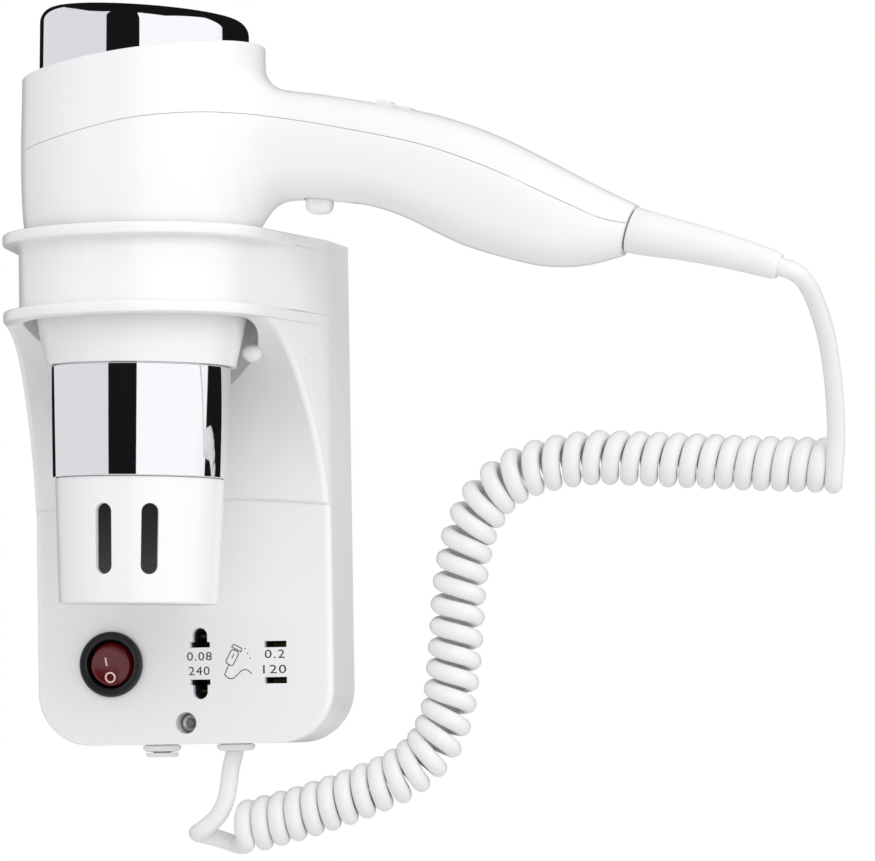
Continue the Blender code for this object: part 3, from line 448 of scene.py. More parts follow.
CORD_RADIUS = 3.1
TURNS = 42.31
CLOSE_PITCH = 6.25
TURN_RADIUS = 6.5
STEPS_PER_TURN = 24
COIL_ROUTE_STEP = 0.35
COIL_DEPTH = -12.0
CORD_STEP = 1.6
HANDLE_TAIL = [
    (219.4, -74, 66.8), (223.4, -74, 65.1), (226.6, -73.6, 63.9), (229.5, -68.5, 61.2), (231.4, -60, 55.7),
    (232.7, -49, 46.5), (233.0, -41, 38.2), (232.8, -33, 28.0), (232.1, -26, 17.5), (231.2, -21.2, 9.5),
]
COIL_ROUTE = [
    (230.2, 2.0), (201, 3.6), (181.9, 4.9), (163.6, 6.1), (145, 7.1), (130, 5.6), (118, 2.2), (108, -4.4),
    (101, -15.0), (97.8, -25), (95.5, -38.5), (94.3, -52.7), (92.8, -66.7), (90.4, -80.9), (84.4, -93.0),
    (74, -101.5), (59.3, -107.7), (40.3, -113.8), (24.0, -118.0), (15.6, -119.9),
]
BASE_TAIL = [
    (12.2, -6.0, -125.8), (8.2, -5.6, -124.6), (4.2, -6.8, -123.2), (0.8, -10.0, -122.0),
    (-0.4, -13.6, -121.4), (1.6, -16.6, -120.6), (5.2, -17.0, -118.2), (8.6, -16.5, -114.6),
    (10.9, -16.0, -109.6), (11.9, -15.5, -104.0), (12.6, -15, -98.4), (14.0, -15, -93.2),
    (14.6, -15, -90.0),
]


def coil_line():
    """A left-handed helix along the coil's route, parallel to the wall, its turns closest at the ends."""
    steps = round(STEPS_PER_TURN * TURNS)
    route = smooth_route([(x, COIL_DEPTH, z) for x, z in COIL_ROUTE], COIL_ROUTE_STEP)
    front = Vector((0, -1, 0))
    squeeze = CLOSE_PITCH * TURNS / (COIL_ROUTE_STEP * (len(route) - 1))
    found = []
    for i in range(steps + 1):
        share = math.pi * i / steps
        k = (len(route) - 1) * math.atan2(squeeze * math.sin(share), math.cos(share)) / math.pi
        low = min(int(k), len(route) - 2)
        centre = route[low].lerp(route[low + 1], k - low)
        along = (route[min(low + 6, len(route) - 1)] - route[max(low - 5, 0)]).normalized()
        angle = math.radians(-10) - math.tau * TURNS * i / steps
        found.append(centre + TURN_RADIUS * (math.cos(angle) * front + math.sin(angle) * along.cross(front)))
    return found


def tube(name, points, radius, sides):
    """A round tube along the points, whose section turns as little as possible from one to the next."""
    rings = []
    side = None
    for k, point in enumerate(points):
        along = (points[min(k + 1, len(points) - 1)] - points[max(k - 1, 0)]).normalized()
        side = side or along.orthogonal()
        side = (side - along * side.dot(along)).normalized()
        up = along.cross(side)
        rings.append([
            point + radius * (math.cos(math.tau * i / sides) * side + math.sin(math.tau * i / sides) * up)
            for i in range(sides)
        ])
    return raw(name, loft(rings))


coil = coil_line()
cord_route = smooth_route([*HANDLE_TAIL, *coil[3:-3:3], *BASE_TAIL], CORD_STEP)
cord = tube("curly_cord", cord_route, CORD_RADIUS, 16)
cord.data.materials.append(FINISH["cord"])
cord.data.shade_smooth()
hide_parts("cord_tail_handle", "cord_coil", "cord_tail_base")
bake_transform(cord)


# ---------------------------------------------------------------- holder housing

SIDE_POINTS = 14
CORNER_POINTS = 8
FRONT_POINTS = 81


def half_width(depth, radius, taper):
    """Half the width at a depth from the wall, on the straight side tangent to the collar's round front."""
    angle = math.radians(taper)
    width = (radius + (COLLAR_DEPTH - depth) * math.sin(angle)) / math.cos(angle)
    return min(width, HALF_WIDTH)


def flange_half_width(depth):
    return half_width(depth, FLANGE_RADIUS, FLANGE_TAPER)


def full_ring(z, radius, taper, inset=0.0):
    """The collar's U-shaped outline at height z, from the wall's right round the front to its left."""
    start = math.radians(taper)
    reach = COLLAR_DEPTH + radius * math.sin(start)
    right = []
    for i in range(SIDE_POINTS):
        depth = reach * i / SIDE_POINTS
        width = min(half_width(depth, radius, taper), flange_half_width(depth))
        fade = min(max((depth - 30) / 30, 0.0), 1.0)
        right.append((width - inset * fade, depth))
    arc = []
    arc_points = 2 * CORNER_POINTS + FRONT_POINTS
    for i in range(arc_points):
        angle = start + (math.pi - 2 * start) * i / (arc_points - 1)
        arc.append(((radius - inset) * math.cos(angle), COLLAR_DEPTH + (radius - inset) * math.sin(angle)))
    left = [(-x, depth) for x, depth in reversed(right)]
    return [Vector((x, -depth, z)) for x, depth in right + arc + left]


def flat_ring(z, rim, middle, half=None, arch=0.0):
    """The outline at z where the front is cut back: rim is the side walls' depth, middle the hollow's."""
    width = (half or flange_half_width(rim)) - EDGE_ROUND
    right = []
    for i in range(SIDE_POINTS):
        depth = (rim - EDGE_ROUND) * i / SIDE_POINTS
        right.append((half or flange_half_width(depth), depth))
    corner = []
    for i in range(CORNER_POINTS):
        angle = math.pi / 2 * i / CORNER_POINTS
        corner.append((width + EDGE_ROUND * math.cos(angle), rim - EDGE_ROUND + EDGE_ROUND * math.sin(angle)))
    front = []
    for i in range(FRONT_POINTS):
        across = math.cos(math.pi * i / (FRONT_POINTS - 1))
        front.append((width * across, rim - (rim - middle) * (1 - across**2)))
    mirrored = [(-x, depth) for x, depth in reversed(right + corner)]
    return [
        Vector((x, -depth, z + arch * (1 - (x / HALF_WIDTH) ** 2)))
        for x, depth in right + corner + front + mirrored
    ]


def housing_rings():
    rings = []
    for i in range(20, -1, -1):
        angle = math.radians(90 * i / 20)
        half = HALF_WIDTH - BOX_CORNER * (1 - math.cos(angle))
        rings.append(flat_ring(BOTTOM + BOX_CORNER * (1 - math.sin(angle)), BOX_DEPTH, BOX_DEPTH, half))
    rings.append(flat_ring(-35, BOX_DEPTH, BOX_DEPTH))
    for low, depth in ((-1.25, 29.5), (-1.2, 29.56), (-1.1, 30.0), (-0.9, 30.5), (-0.6, 30.9), (-0.2, 31.2),
        (0.3, 31.3)):
        rings.append(flat_ring(LEDGE_Z + low, depth, depth, arch=LEDGE_ARCH))
    rings.append(flat_ring(LEDGE_Z + 1.4, 31.4, 31.0, arch=LEDGE_ARCH))
    rings.append(flat_ring(LEDGE_Z + 2.5, 31.5, 30.75, arch=LEDGE_ARCH))
    levels = 56
    for i in range(levels + 1):
        z = 4 + (NICHE_TOP - 4) * (1 - (1 - i / levels) ** 1.7)
        rings.append(flat_ring(z, smooth_curve(SIDE_EDGE, z), smooth_curve(NICHE_BACK, z)))
    for low in (NICHE_TOP + 0.1, TOP - FLANGE_HEIGHT):
        high = low + FLANGE_HEIGHT
        for turn in (0, 30, 60, 90):
            rise = math.sin(math.radians(turn))
            rings.append(full_ring(low + 0.7 * (1 - math.cos(math.radians(turn))), FLANGE_RADIUS,
                FLANGE_TAPER, 0.7 * (1 - rise)))
        for turn in (0, 22, 45, 67, 90):
            rise = math.sin(math.radians(turn))
            rings.append(full_ring(high - 1.0 + rise, FLANGE_RADIUS, FLANGE_TAPER,
                1.0 - math.cos(math.radians(turn))))
        if high < TOP:
            rings.append(full_ring(high + 0.1, COLLAR_RADIUS + 0.8, COLLAR_TAPER))
            rings.append(full_ring(high + 0.3, COLLAR_RADIUS + 0.25, COLLAR_TAPER))
            rings.append(full_ring(high + 0.8, COLLAR_RADIUS, COLLAR_TAPER))
            rings.append(full_ring(TOP - FLANGE_HEIGHT - 0.8, COLLAR_RADIUS, COLLAR_TAPER))
            rings.append(full_ring(TOP - FLANGE_HEIGHT - 0.2, COLLAR_RADIUS + 0.5, COLLAR_TAPER))
    return rings


def round_pin_outline(side):
    outline = [(3.6, 5.6), (3.6, 7.5), (2.65, 7.5)]
    outline += [(2.65 * math.cos(math.radians(a)), 9.8 + 2.65 * math.sin(math.radians(a)))
        for a in range(0, 181, 10)]
    outline += [(-2.65, 7.5), (-3.6, 7.5), (-3.6, 5.6)]
    return [(ROUND_PIN_X + x, OUTLET_Z + side * z) for x, z in outline]


def flat_pin_outline(side):
    middle = OUTLET_Z + side * FLAT_PIN_SPACING / 2
    return [(FLAT_PIN_X + x, middle + z) for x, z in ((-4.0, -1.1), (4.0, -1.1), (4.0, 1.1), (-4.0, 1.1))]


def build_holder():
    housing = raw("holder_housing_surface", loft(housing_rings()))
    depth = (0.0, -COLLAR_DEPTH, 0.0)
    bore = [
        (0, 14), (BORE_RADIUS + 1.0, 14), (BORE_RADIUS + 1.0, 57), (BORE_RADIUS, 60), (BORE_RADIUS, 76),
        (39.5, 77.6), (40.3, 79.2), (41.2, 81.4), (42.0, 83.4), (42.5, 84.4), (MOUTH_RADIUS, TOP),
        (MOUTH_RADIUS, TOP + 6), (0, TOP + 6),
    ]
    inside = prism(
        rounded_rectangle((-HALF_WIDTH + WALL, BOTTOM + WALL), (HALF_WIDTH - WALL, TOP - WALL),
            BOX_CORNER - WALL),
        -BOX_DEPTH + WALL, 2, "Y",
    )
    nubs = []
    for side in (-1, 1):
        dome = [(3.5 * math.cos(math.radians(a)), 3.2 * math.sin(math.radians(a)))
            for a in range(-80, 81, 10)]
        nubs.append(turned([(0, -3.2), *dome, (0, 3.2)], (side * 34.6, -57.0, 44.2), segments=48))
    shape_with(housing, "DIFFERENCE", turned(bore, depth), inside, solver="EXACT")
    shape_with(housing, "UNION", merged(*nubs), cylinder(5.3, -BOX_DEPTH + 1, -19.5, COVER_SCREW, "Y"),
        solver="EXACT")
    screw = [(0, -33), (3.75, -33), (3.75, -21.7), (2.1, -21.7), (2.1, -18), (0, -18)]
    pins = [round_pin_outline(1), round_pin_outline(-1), flat_pin_outline(1), flat_pin_outline(-1)]
    bushes = merged(*(cylinder(6.1, BOTTOM - 3, BOTTOM + 4, (x, -BUSH_DEPTH, 0))
        for x in (GLAND_X, CORD_BUSH_X)))
    shape_with(
        housing, "DIFFERENCE",
        turned(screw, COVER_SCREW, "Y", 64),
        cylinder(9.9, -33, -24, (ROCKER[0], 0.0, ROCKER[2]), "Y", 96),
        merged(*(prism(outline, -33, -24, "Y") for outline in pins)),
        bushes, solver="EXACT",
    )
    piece(housing, "white_gloss", "wall_unit", ["holder_housing"], 30)

    bezel = rounded([
        (9.6, -14.5), (9.6, -29.8), (11.5, -29.8), (11.5, -30.9, 0.5), (10.9, -31.7, 0.8),
        (9.1, -31.6, 0.6), (8.5, -31.0, 0.6), (8.5, -17.5), (0, -17.5), (0, -14.5),
    ], 0.9)
    piece(raw("rocker_bezel", turned(bezel, (ROCKER[0], 0.0, ROCKER[2]), "Y", 128)), "black_plastic",
        "wall_unit", ["rocker_frame"])
    bush = rounded([
        (3.6, BOTTOM + 3.4), (5.8, BOTTOM + 3.4), (5.8, BOTTOM - 0.3), (6.7, BOTTOM - 0.3, 0.5),
        (6.7, BOTTOM - 1.4, 1), (5.9, BOTTOM - 2.4, 1), (3.6, BOTTOM - 2.6, 0.4),
    ], 0.6)
    piece(raw("supply_gland_ring", turned(bush, (GLAND_X, -BUSH_DEPTH, 0.0), segments=96)), "white_gloss",
        "wall_unit", ["supply_gland"])
    piece(raw("cord_bush_ring", turned(bush, (CORD_BUSH_X, -BUSH_DEPTH, 0.0), segments=96)), "white_gloss",
        "wall_unit", ["cord_bush"])
    plug = rounded([
        (0, BOTTOM + 2), (3.1, BOTTOM + 2), (3.1, BOTTOM - 2.9), (5.8, BOTTOM - 2.9, 0.5),
        (5.5, BOTTOM - 4.4, 1), (0, BOTTOM - 4.5),
    ], 0.6)
    piece(raw("gland_plug_disc", turned(plug, (GLAND_X, -BUSH_DEPTH, 0.0), segments=96)), "white_satin",
        "wall_unit", ["gland_plug"])


# ---------------------------------------------------------------- rocker and printed marks

def ribbon(points, width, level, thickness=0.05, closed=False):
    """A raised line of the given width through (x, z) points on a face that looks toward -Y."""
    spots = [Vector(point) for point in points]
    shapes = []
    pairs = list(zip(spots, spots[1:] + spots[:1])) if closed else list(zip(spots, spots[1:]))
    for a, b in pairs:
        along = (b - a).normalized()
        side = Vector((-along.y, along.x)) * width / 2
        a, b = a - along * width * 0.3, b + along * width * 0.3
        outline = [tuple(a + side), tuple(a - side), tuple(b - side), tuple(b + side)]
        shapes.append(prism(outline, level - thickness, level, "Y"))
    return merged(*shapes)


def dot(x, z, radius, level, thickness=0.05):
    return cylinder(radius, level - thickness, level, (x, 0.0, z), "Y", 20)


def numeral(text, centre_x, low, high, width):
    """Plain figures printed on the front of the holder, from one height to another."""
    curve = bpy.data.curves.new("figures", "FONT")
    curve.body = text
    curve.size = 1.0
    curve.resolution_u = 4
    curve.extrude = 0.5
    curve.space_character = 1.12
    text_object = bpy.data.objects.new("figures", curve)
    scene.collection.objects.link(text_object)
    bpy.context.view_layer.update()
    graph = bpy.context.evaluated_depsgraph_get()
    mesh = bpy.data.meshes.new_from_object(text_object.evaluated_get(graph))
    bpy.data.objects.remove(text_object)
    xs = [v.co.x for v in mesh.vertices]
    ys = [v.co.y for v in mesh.vertices]
    scale_x, scale_z = width / (max(xs) - min(xs)), (high - low) / (max(ys) - min(ys))
    for vertex in mesh.vertices:
        x, y, z = vertex.co
        vertex.co = Vector((
            centre_x + (x - (max(xs) + min(xs)) / 2) * scale_x, -BOX_DEPTH - 0.025 - z * 0.05,
            low + (y - min(ys)) * scale_z,
        )) * MM
    obj = bpy.data.objects.new(f"printed_{text.replace('.', '_')}", mesh)
    scene.collection.objects.link(obj)
    return piece(obj, "black_plastic", "wall_unit", material="ink")


def build_marks():
    profile = [(0, 5.6)]
    for angle in range(-44, 33, 4):
        profile.append((8.1 * math.cos(math.radians(angle)), -8.1 * math.sin(math.radians(angle))))
    profile += [(6.72, -4.45), (6.4, -4.55), (6.0, -4.5), (4.8, -4.27), (3.5, -4.12), (2.0, -4.03), (0, -4.0)]
    piece(raw("rocker_lens", turned(profile, axis="Y", segments=96), ROCKER_FRAME), "red_rocker", "rocker",
        ["rocker_button"])
    stroke = ribbon([(-1.3, 0.45), (-1.42, 3.05)], 0.55, -4.08, 0.12)
    piece(raw("rocker_mark_on", stroke, ROCKER_FRAME), "white_satin", "rocker", material="mark")
    ring = turned([(1.38, -4.05), (1.38, -4.62), (1.95, -4.62), (1.95, -4.05)], (-0.55, 0.0, -3.9), "Y", 48)
    piece(raw("rocker_mark_off", ring, ROCKER_FRAME), "white_satin", "rocker", material="mark")

    numeral("0.08", ROUND_PIN_X - 0.25, -60.85, -57.9, 9.0)
    numeral("240", ROUND_PIN_X - 0.4, -65.95, -63.0, 7.6)
    numeral("0.2", FLAT_PIN_X - 0.3, -60.5, -57.55, 7.2)
    numeral("120", FLAT_PIN_X - 0.4, -65.8, -62.85, 8.4)

    level = -BOX_DEPTH
    lines = []
    turn = Matrix.Rotation(math.radians(-28), 2)
    middle = Vector((18.2, -59.4))
    body = [tuple(middle + turn @ Vector(point))
        for point in rounded_rectangle((-1.5, -3.4), (1.5, 2.0), 0.9, 3)]
    head = [tuple(middle + turn @ Vector(point))
        for point in ((-1.9, 2.5), (1.9, 2.5), (1.6, 3.7), (-1.6, 3.7))]
    lines.append(ribbon(body, 0.3, level, closed=True))
    lines.append(ribbon(head, 0.3, level, closed=True))
    lines.append(ribbon([tuple(middle + turn @ Vector(point)) for point in ((0, -0.9), (0, 0.7))], 0.3,
        level))
    wire = [tuple(middle + turn @ Vector((0, -3.4)))]
    for i in range(25):
        t = i / 24
        wire.append((15.0 + 9.8 * t, -66.0 - 1.5 * math.sin(math.tau * t) + 0.3 * t))
    lines.append(ribbon(wire, 0.3, level))
    dots = [dot(22.6 + 0.9 * i, -57.0 - 1.7 * i, 0.24, level) for i in range(3)]
    piece(raw("printed_shaver_sign", merged(*lines)), "black_plastic", "wall_unit", material="ink")
    piece(raw("printed_shaver_dots", merged(*dots)), "black_plastic", "wall_unit", material="ink")


# ---------------------------------------------------------------- dryer

def handle_section(x, inset, sides):
    top = smooth_curve(HANDLE_TOP, x) - inset
    bottom = smooth_curve(HANDLE_BOTTOM, x) + inset
    half_depth = smooth_curve(HANDLE_HALF_DEPTH, x) - inset
    middle = (top + bottom) / 2
    ring = []
    for i in range(sides):
        angle = math.tau * i / sides
        across = math.copysign(abs(math.cos(angle)) ** 0.86, math.cos(angle))
        up = math.copysign(abs(math.sin(angle)) ** 0.86, math.sin(angle))
        ring.append(Vector((x, half_depth * across, middle + (top - middle) * up)))
    return ring


def outer_skin():
    """Barrel and handle as one surface: joined, made even, and smoothed where the two meet."""
    outline = [(0, BODY_OUTLINE[0][1])]
    heights = [70 + 2.0 * i for i in range(67)]
    by_height = [(height, radius) for radius, height in BODY_OUTLINE]
    outline += [(smooth_curve(by_height, height), height) for height in heights]
    skin = raw("dryer_skin", turned([*outline, (0, heights[-1])]))
    xs = [30 + 0.75 * i for i in range(28)] + [51.5 + 2.4 * i for i in range(55)]
    join(skin, loft([handle_section(x, 0.0, 72) for x in xs if x <= 183]))
    even = skin.modifiers.new("even", "REMESH")
    even.mode = "VOXEL"
    even.voxel_size = 0.9 * MM
    settle(skin)
    group = skin.vertex_groups.new(name="flow")
    for vertex in skin.data.vertices:
        x, y, z = (vertex.co / MM)[:]
        radius = math.hypot(x, y)
        weight = min(max(1 - abs(radius - 42.5) / 9.0, 0.0), 1.0) * 2.0
        if x > 22 and 112 < z < 196:
            group.add([vertex.index], min(weight, 1.0), "REPLACE")
    flow = skin.modifiers.new("flow", "SMOOTH")
    flow.factor = 0.5
    flow.iterations = 45
    flow.vertex_group = "flow"
    calm = skin.modifiers.new("calm", "SMOOTH")
    calm.factor = 0.5
    calm.iterations = 4
    settle(skin)
    skin.vertex_groups.clear()
    return skin


def hollow_shapes():
    profile = [(radius - SHELL_WALL, height) for radius, height in BODY_OUTLINE[1:]]
    profile = [(0, 60), (30.3, 60), (30.3, 83), *profile[2:-1:2], (39.4, 176), (36.4, 177), (36.4, 215),
        (0, 215)]
    stations = [31, 36, 41.5, 47, 55, 70, 90, 110, 130, 150, 165, 184]
    return turned(profile, segments=64), loft([handle_section(x, SHELL_WALL, 32) for x in stations])


def parting_region(side):
    """All that lies above (side 1) or below (side -1) the line where the two shells meet."""
    xs = [-60 + 2.5 * i for i in range(101)]
    far = 240 if side > 0 else 50
    outline = [(x, smooth_curve(PARTING_LINE, x) + side * 0.06) for x in xs]
    return prism(outline + [(xs[-1], far), (xs[0], far)], -70, 70, "Y")


def build_shells():
    skin = outer_skin()
    post = [(0, 137.2), (4.7, 137.2), (4.7, 142.0), (3.2, 143.5), (3.2, 170.6), (0, 170.6)]
    cut(skin, *hollow_shapes())
    join(skin, turned(post, (HANDLE_SCREW_X, 0.0, 0.0), segments=48))
    end = prism([(166.1, 110.0), (260, 110.0), (260, 141.2), (175.7, 141.2)], -40, 40, "Y")
    cut(skin, end, box((-60, -60, 50), (60, 60, 81.4)))
    rear = bpy.data.objects.new("rear_shell_surface", skin.data.copy())
    scene.collection.objects.link(rear)
    skin.name = "front_shell_surface"
    shape_with(skin, "INTERSECT", parting_region(-1))
    shape_with(rear, "INTERSECT", parting_region(1))
    screw = [(0, 120), (3.3, 120), (3.3, 140.2), (1.65, 140.2), (1.65, 165), (0, 165)]
    trigger = prism(rounded_rectangle((TRIGGER_X - 5.0, -4.4), (TRIGGER_X + 5.0, 4.4), 2.6), 128, 146)
    cut(skin, turned(screw, (HANDLE_SCREW_X, 0.0, 0.0), segments=48), trigger)
    rim = prism([(-80, 173.0), (80, 197.0), (80, 260), (-80, 260)], -70, 70, "Y")
    cut(rear, cylinder(1.65, 140, 167.5, (HANDLE_SCREW_X, 0.0, 0.0)), rim)
    local = DRYER.inverted() @ KNOB
    recess = prism(rounded_rectangle((-25.5, -4.6), (7.4, 4.6), 3.0), 0.0, 8.0, "Z")
    cut(rear, recess, box((-8.6, -1.9, -6.0), (1.9, 1.9, 4.0)), matrix=local)
    for obj, node in ((skin, "front_shell"), (rear, "rear_shell")):
        obj.data.transform(Matrix.Scale(MM, 4) @ DRYER @ Matrix.Scale(1 / MM, 4))
        piece(obj, "white_gloss", "dryer", [node], 32)


def sheared(shape, slope=CAP_SLOPE, from_height=190):
    points, faces = shape
    return [Vector((p[0], p[1], p[2] + (slope * p[0] if p[2] > from_height else 0.0))) for p in points], faces


def polar_grille(radii, sectors, low, high, spokes, bars):
    """A flat round grille: the cells of a polar grid that lie on a spoke or on a bar are solid."""
    shapes = []
    for ring in range(len(radii) - 1):
        if bars[ring]:
            r0, r1 = radii[ring], radii[ring + 1]
            shapes.append(turned([(r0, low), (r1, low), (r1, high), (r0, high)], segments=sectors))
    for k in range(spokes):
        points, faces = box((radii[0] + 0.4, -1.1, low + 0.3), (radii[-1] - 0.4, 1.1, high - 0.3))
        turn = Matrix.Rotation(math.tau * k / spokes, 3, "Z")
        shapes.append(([turn @ point for point in points], faces))
    return shapes


def build_ends():
    radius, top = 35.9, 202.8
    profile = [(radius, 174), (radius, 191)]
    for i in range(13):
        turn = math.radians(90 * i / 12)
        profile.append((radius - 5.4 * (1 - math.cos(turn)), top - 5.4 * (1 - math.sin(turn))))
    profile += [(radius - 6.2, top - 0.4), (radius - 6.2, top - 1.6), (radius - 4.2, top - 2.3),
        (radius - 1.9, top - 5.2),
                (radius - 1.6, top - 6.5), (radius - 1.6, 174)]
    piece(raw("rear_cap_surface", sheared(turned(profile)), DRYER), "chrome", "dryer", ["rear_cap_ring"])
    shapes = polar_grille([7.0, 12.6, 15.4, 21.0, 23.8, 29.6, 33.7], 128, top - 8.6, top - 6.4, 4,
                          [True, False, True, False, True, True])
    grille = raw("inlet_grille_surface", sheared(shapes[0]), DRYER)
    join(grille, *(sheared(shape) for shape in shapes[1:]), matrix=DRYER)
    piece(grille, "dark_plastic", "dryer", ["inlet_grille"])
    band = rounded([
        (28.7, 88), (29.9, 88), (29.9, 81.1), (30.9, 81.1, 0.6), (29.75, 43.1, 0.6), (28.6, 43.1),
        (28.6, 52), (29.0, 62),
    ], 0.6)
    piece(raw("chrome_band_surface", turned(band, segments=192), DRYER), "chrome", "dryer", ["chrome_barrel"])

    tip = rounded([
        (28.9, 42.8), (28.2, 42.8), (28.2, 50.5), (26.9, 50.5), (26.8, 42), (25.3, 1.2), (25.6, 0.1, 0.5),
        (26.4, 0.0, 0.6), (27.05, 0.5, 0.8), (27.2, 2.0),
    ], 1.0)
    nozzle = raw("nozzle_surface", turned(tip, segments=192), DRYER)
    half = 2.9
    outline = []
    for centre, start in ((33.8 - half, 0), (9.8 + half, 180)):
        for i in range(17):
            angle = math.radians(start + 180 * i / 16)
            outline.append((half * math.cos(angle), centre + half * math.sin(angle)))
    slots = []
    for middle in (TIP_SLOT_TURN, TIP_SLOT_TURN + 180):
        for side in (-1, 1):
            turn = Matrix.Rotation(math.radians(middle + side * TIP_SLOT_HALF_SPACING), 3, "Z")
            points, faces = prism(outline, -32, -22, "Y")
            slots.append(([turn @ point for point in points], faces))
    cut(nozzle, merged(*slots), matrix=DRYER)
    piece(nozzle, "white_gloss", "nozzle", ["nozzle_tip"])
    # Painted shade: the inward faces of the nozzle's inner wall take the dark grey finish instead of the
    # white.
    nozzle.data.materials.append(FINISH["inside"])
    back = DRYER.inverted()
    for face in nozzle.data.polygons:
        spot, facing = back @ (face.center / MM), back.to_3x3() @ face.normal
        from_axis = math.hypot(spot.x, spot.y)
        inner_wall = 25.3 + 0.0368 * (spot.z - 1.2)
        inward = spot.x * facing.x + spot.y * facing.y < -0.5 * from_axis
        if inward and spot.z > 3.0 and abs(from_axis - inner_wall) < 0.5:
            face.material_index = 1


def build_handle_parts():
    x = TRIGGER_X
    rings = []
    for i in range(9):
        turn = math.radians(90 * i / 8)
        share = 0.35 + 0.65 * math.sin(turn)
        rings.append((133.0 + 2.9 * (1 - math.cos(turn)), 4.6 * share, 3.9 * share))
    rings += [(141.3, 4.6, 3.9), (141.31, 6.2, 5.3), (142.9, 6.2, 5.3)]
    shape = loft([
        [Vector((a, b, z)) for a, b in rounded_rectangle((x - length, -width), (x + length, width),
            width * 0.75, 8)]
        for z, length, width in rings
    ])
    piece(raw("trigger_cap", shape, DRYER), "white_gloss", "trigger", ["trigger_button"])

    coil_points = []
    for i in range(24 * 4 + 1):
        angle = math.tau * i / 24
        coil_points.append(DRYER @ Vector((x + 2.2 * math.cos(angle), 2.2 * math.sin(angle),
            143.6 + 4.9 * i / 96)))
    spring = piece(tube("return_spring", coil_points, 0.3, 8), "steel", "dryer", ["trigger_spring"])
    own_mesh(spring)

    knob = rounded([
        (-6.1, 0.3), (6.4, 0.3), (6.4, 1.1, 0.5), (5.9, 1.5, 0.5), (-0.9, 1.5, 0.5), (-1.2, 2.4, 0.5),
        (-5.6, 2.4, 0.5), (-6.1, 1.9, 0.5),
    ], 0.6)
    cap = raw("slide_knob_cap", prism(knob, -3.4, 3.4, "Y"), KNOB)
    join(cap, box((-1.5, -1.5, -3.4), (1.5, 1.5, 0.6)), matrix=KNOB)
    piece(cap, "white_gloss", "slide_knob", ["slide_knob"])

    slope = math.radians(17)
    rings = []
    for x, height, radius in BOOT_STATIONS:
        ring = []
        for i in range(64):
            angle = math.tau * i / 64
            up = radius * math.sin(angle)
            ring.append(Vector((x + up * math.sin(slope), radius * math.cos(angle),
                height + up * math.cos(slope))))
        rings.append(ring)
    piece(raw("cord_boot_sleeve", loft(rings), DRYER), "white_satin", "dryer", ["cord_boot"])


build_holder()
build_marks()
build_shells()
build_ends()
build_handle_parts()

# ---------------------------------------------------------------- finishes of the CAD nodes shown as is

NODE_FINISH = {
    "white_satin": ["back_plate", "terminal_block"],
    "steel": ["cover_screw", "handle_screw", "motor_can", "motor_shaft", "thermal_fuse", "transformer_core",
        "inlet_filter"],
    "dark_plastic": ["outlet_body", "cord_clamp", "fan_impeller", "fan_duct", "motor_end_cap",
        "outlet_grille"],
    "black_plastic": ["overload_cutout", "slide_switch_body", "trigger_switch", "thermostat"],
    # The contacts take the brass that is darkened as painted shade.
    "brass": ["contact_120_lower", "contact_120_upper", "contact_240_lower", "contact_240_upper"],
    "copper": ["transformer_winding"],
    "mica": ["mica_sleeve", "heater_frame", "rectifier_board"],
    "nichrome": ["heating_coil"],
}
for slot, names in NODE_FINISH.items():
    for name in names:
        NODES[name].data.materials.clear()
        NODES[name].data.materials.append(FINISH[slot])

# ---------------------------------------------------------------- floor, light and background


TOWARD_CAMERA = Vector((0.2428, -0.9701, 0))
RIGHT_OF_CAMERA = Vector((0.9701, 0.2428, 0))


def show_in_reflections_only(obj):
    obj.visible_camera = False
    obj.visible_diffuse = False
    obj.visible_shadow = False
    obj.visible_transmission = False


def card(name, start, end, colour, strength, low=-2.5, high=4.0, distance=3.2):
    """A tall curved card seen only by reflections, between two bearings from the camera, right positive."""
    points, faces = [], []
    steps = 12
    for i in range(steps + 1):
        bearing = math.radians(start + (end - start) * i / steps)
        toward = TOWARD_CAMERA * math.cos(bearing) + RIGHT_OF_CAMERA * math.sin(bearing)
        for height in (low, high):
            points.append((toward.x * distance, toward.y * distance, height))
        if i:
            faces.append((2 * i - 2, 2 * i, 2 * i + 1, 2 * i - 1))
    mesh = bpy.data.meshes.new(name)
    mesh.from_pydata(points, [], faces)
    obj = bpy.data.objects.new(name, mesh)
    scene.collection.objects.link(obj)
    material = bpy.data.materials.new(name)
    material.use_nodes = True
    nodes = material.node_tree.nodes
    nodes.clear()
    glow = nodes.new("ShaderNodeEmission")
    glow.inputs["Color"].default_value = (*colour, 1.0)
    glow.inputs["Strength"].default_value = strength
    out = nodes.new("ShaderNodeOutputMaterial")
    material.node_tree.links.new(glow.outputs[0], out.inputs["Surface"])
    mesh.materials.append(material)
    show_in_reflections_only(obj)


card("dark_card_front", -38, -2, (0.008, 0.008, 0.009), 1.0)
card("dark_card_back", 97, 217, (0.008, 0.008, 0.009), 1.0)
card("light_card_left", -143, -38, (0.80, 0.81, 0.83), 1.0)

overhead = bpy.data.objects.new("dark_card_overhead", bpy.data.meshes.new("dark_card_overhead"))
overhead.data.from_pydata([(-2.6, -2.6, 3.0), (2.6, -2.6, 3.0), (2.6, 2.6, 3.0), (-2.6, 2.6, 3.0)], [],
    [(0, 1, 2, 3)])
overhead.data.materials.append(bpy.data.materials["dark_card_back"])
scene.collection.objects.link(overhead)
show_in_reflections_only(overhead)

BACK_LIGHT = 0.50
FRONT_LIGHT = 1.12

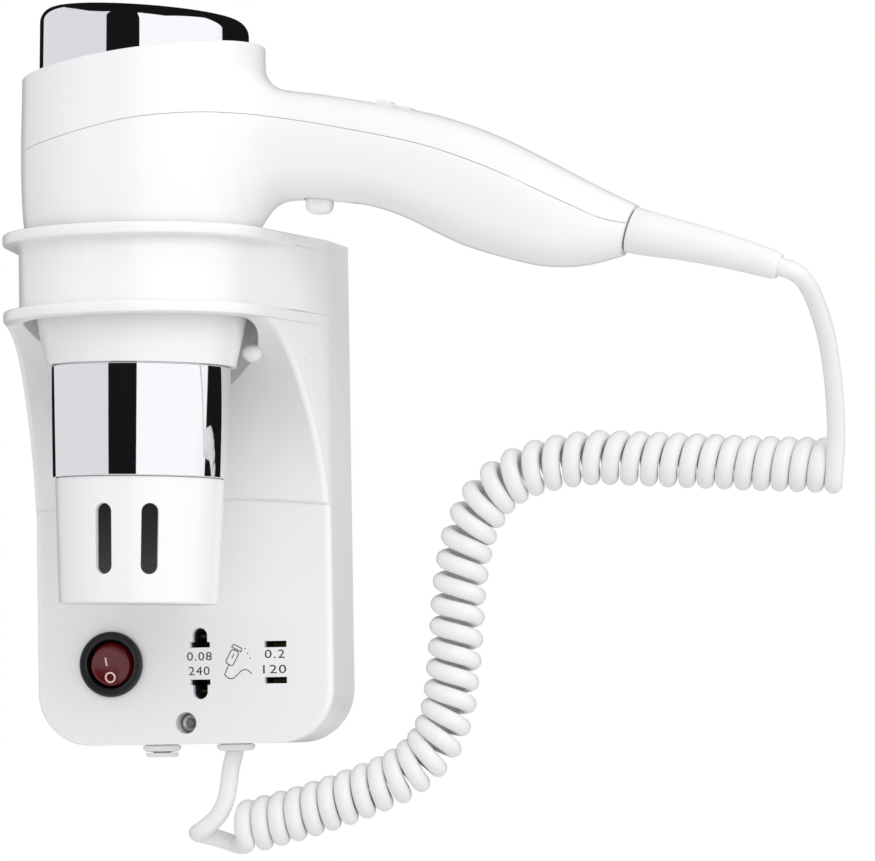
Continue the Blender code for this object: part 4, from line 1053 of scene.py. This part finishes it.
world = bpy.data.worlds.new("studio")
scene.world = world
world.use_nodes = True
nodes, links = world.node_tree.nodes, world.node_tree.links
background = nodes["Background"]
background.inputs["Color"].default_value = (0.98, 0.98, 1.0, 1.0)
seen = nodes.new("ShaderNodeBackground")
seen.inputs["Color"].default_value = (1.0, 1.0, 1.0, 1.0)
ray = nodes.new("ShaderNodeLightPath")
choose = nodes.new("ShaderNodeMixShader")
direction = nodes.new("ShaderNodeTexCoord")
facing = nodes.new("ShaderNodeVectorMath")
facing.operation = "DOT_PRODUCT"
facing.inputs[1].default_value = (0.72, -0.60, 0.34)
level = nodes.new("ShaderNodeMapRange")
level.inputs["From Min"].default_value = -0.85
level.inputs["From Max"].default_value = 0.65
level.inputs["To Min"].default_value = BACK_LIGHT
level.inputs["To Max"].default_value = FRONT_LIGHT
links.new(direction.outputs["Generated"], facing.inputs[0])
links.new(facing.outputs["Value"], level.inputs["Value"])
links.new(level.outputs["Result"], background.inputs["Strength"])
links.new(ray.outputs["Is Camera Ray"], choose.inputs[0])
links.new(background.outputs[0], choose.inputs[1])
links.new(seen.outputs[0], choose.inputs[2])
links.new(choose.outputs[0], nodes["World Output"].inputs["Surface"])


def softbox(name, place, target, width, height, power):
    light = bpy.data.lights.new(name, "AREA")
    light.shape = "RECTANGLE"
    light.size, light.size_y, light.energy = width, height, power
    obj = bpy.data.objects.new(name, light)
    scene.collection.objects.link(obj)
    obj.location = place
    obj.rotation_euler = (Vector(target) - Vector(place)).to_track_quat("-Z", "Y").to_euler()
    obj.visible_glossy = False
    obj.visible_camera = False
    return obj


softbox("key_softbox", (1.7, -1.9, 1.2), (0.03, -0.05, 0.0), 1.2, 1.2, 13.0)

floor = bpy.data.objects.new("floor", bpy.data.meshes.new("floor"))
floor.data.from_pydata([(-2.2, -2.2, -0.6), (2.2, -2.2, -0.6), (2.2, 2.2, -0.6), (-2.2, 2.2, -0.6)], [],
    [(0, 1, 2, 3)])
scene.collection.objects.link(floor)
floor.data.materials.append(finish("pale_floor", (0.8, 0.8, 0.8), 0.7, grain=3.0, depth=0.02))

scene.view_settings.view_transform = "Standard"
scene.view_settings.look = "None"
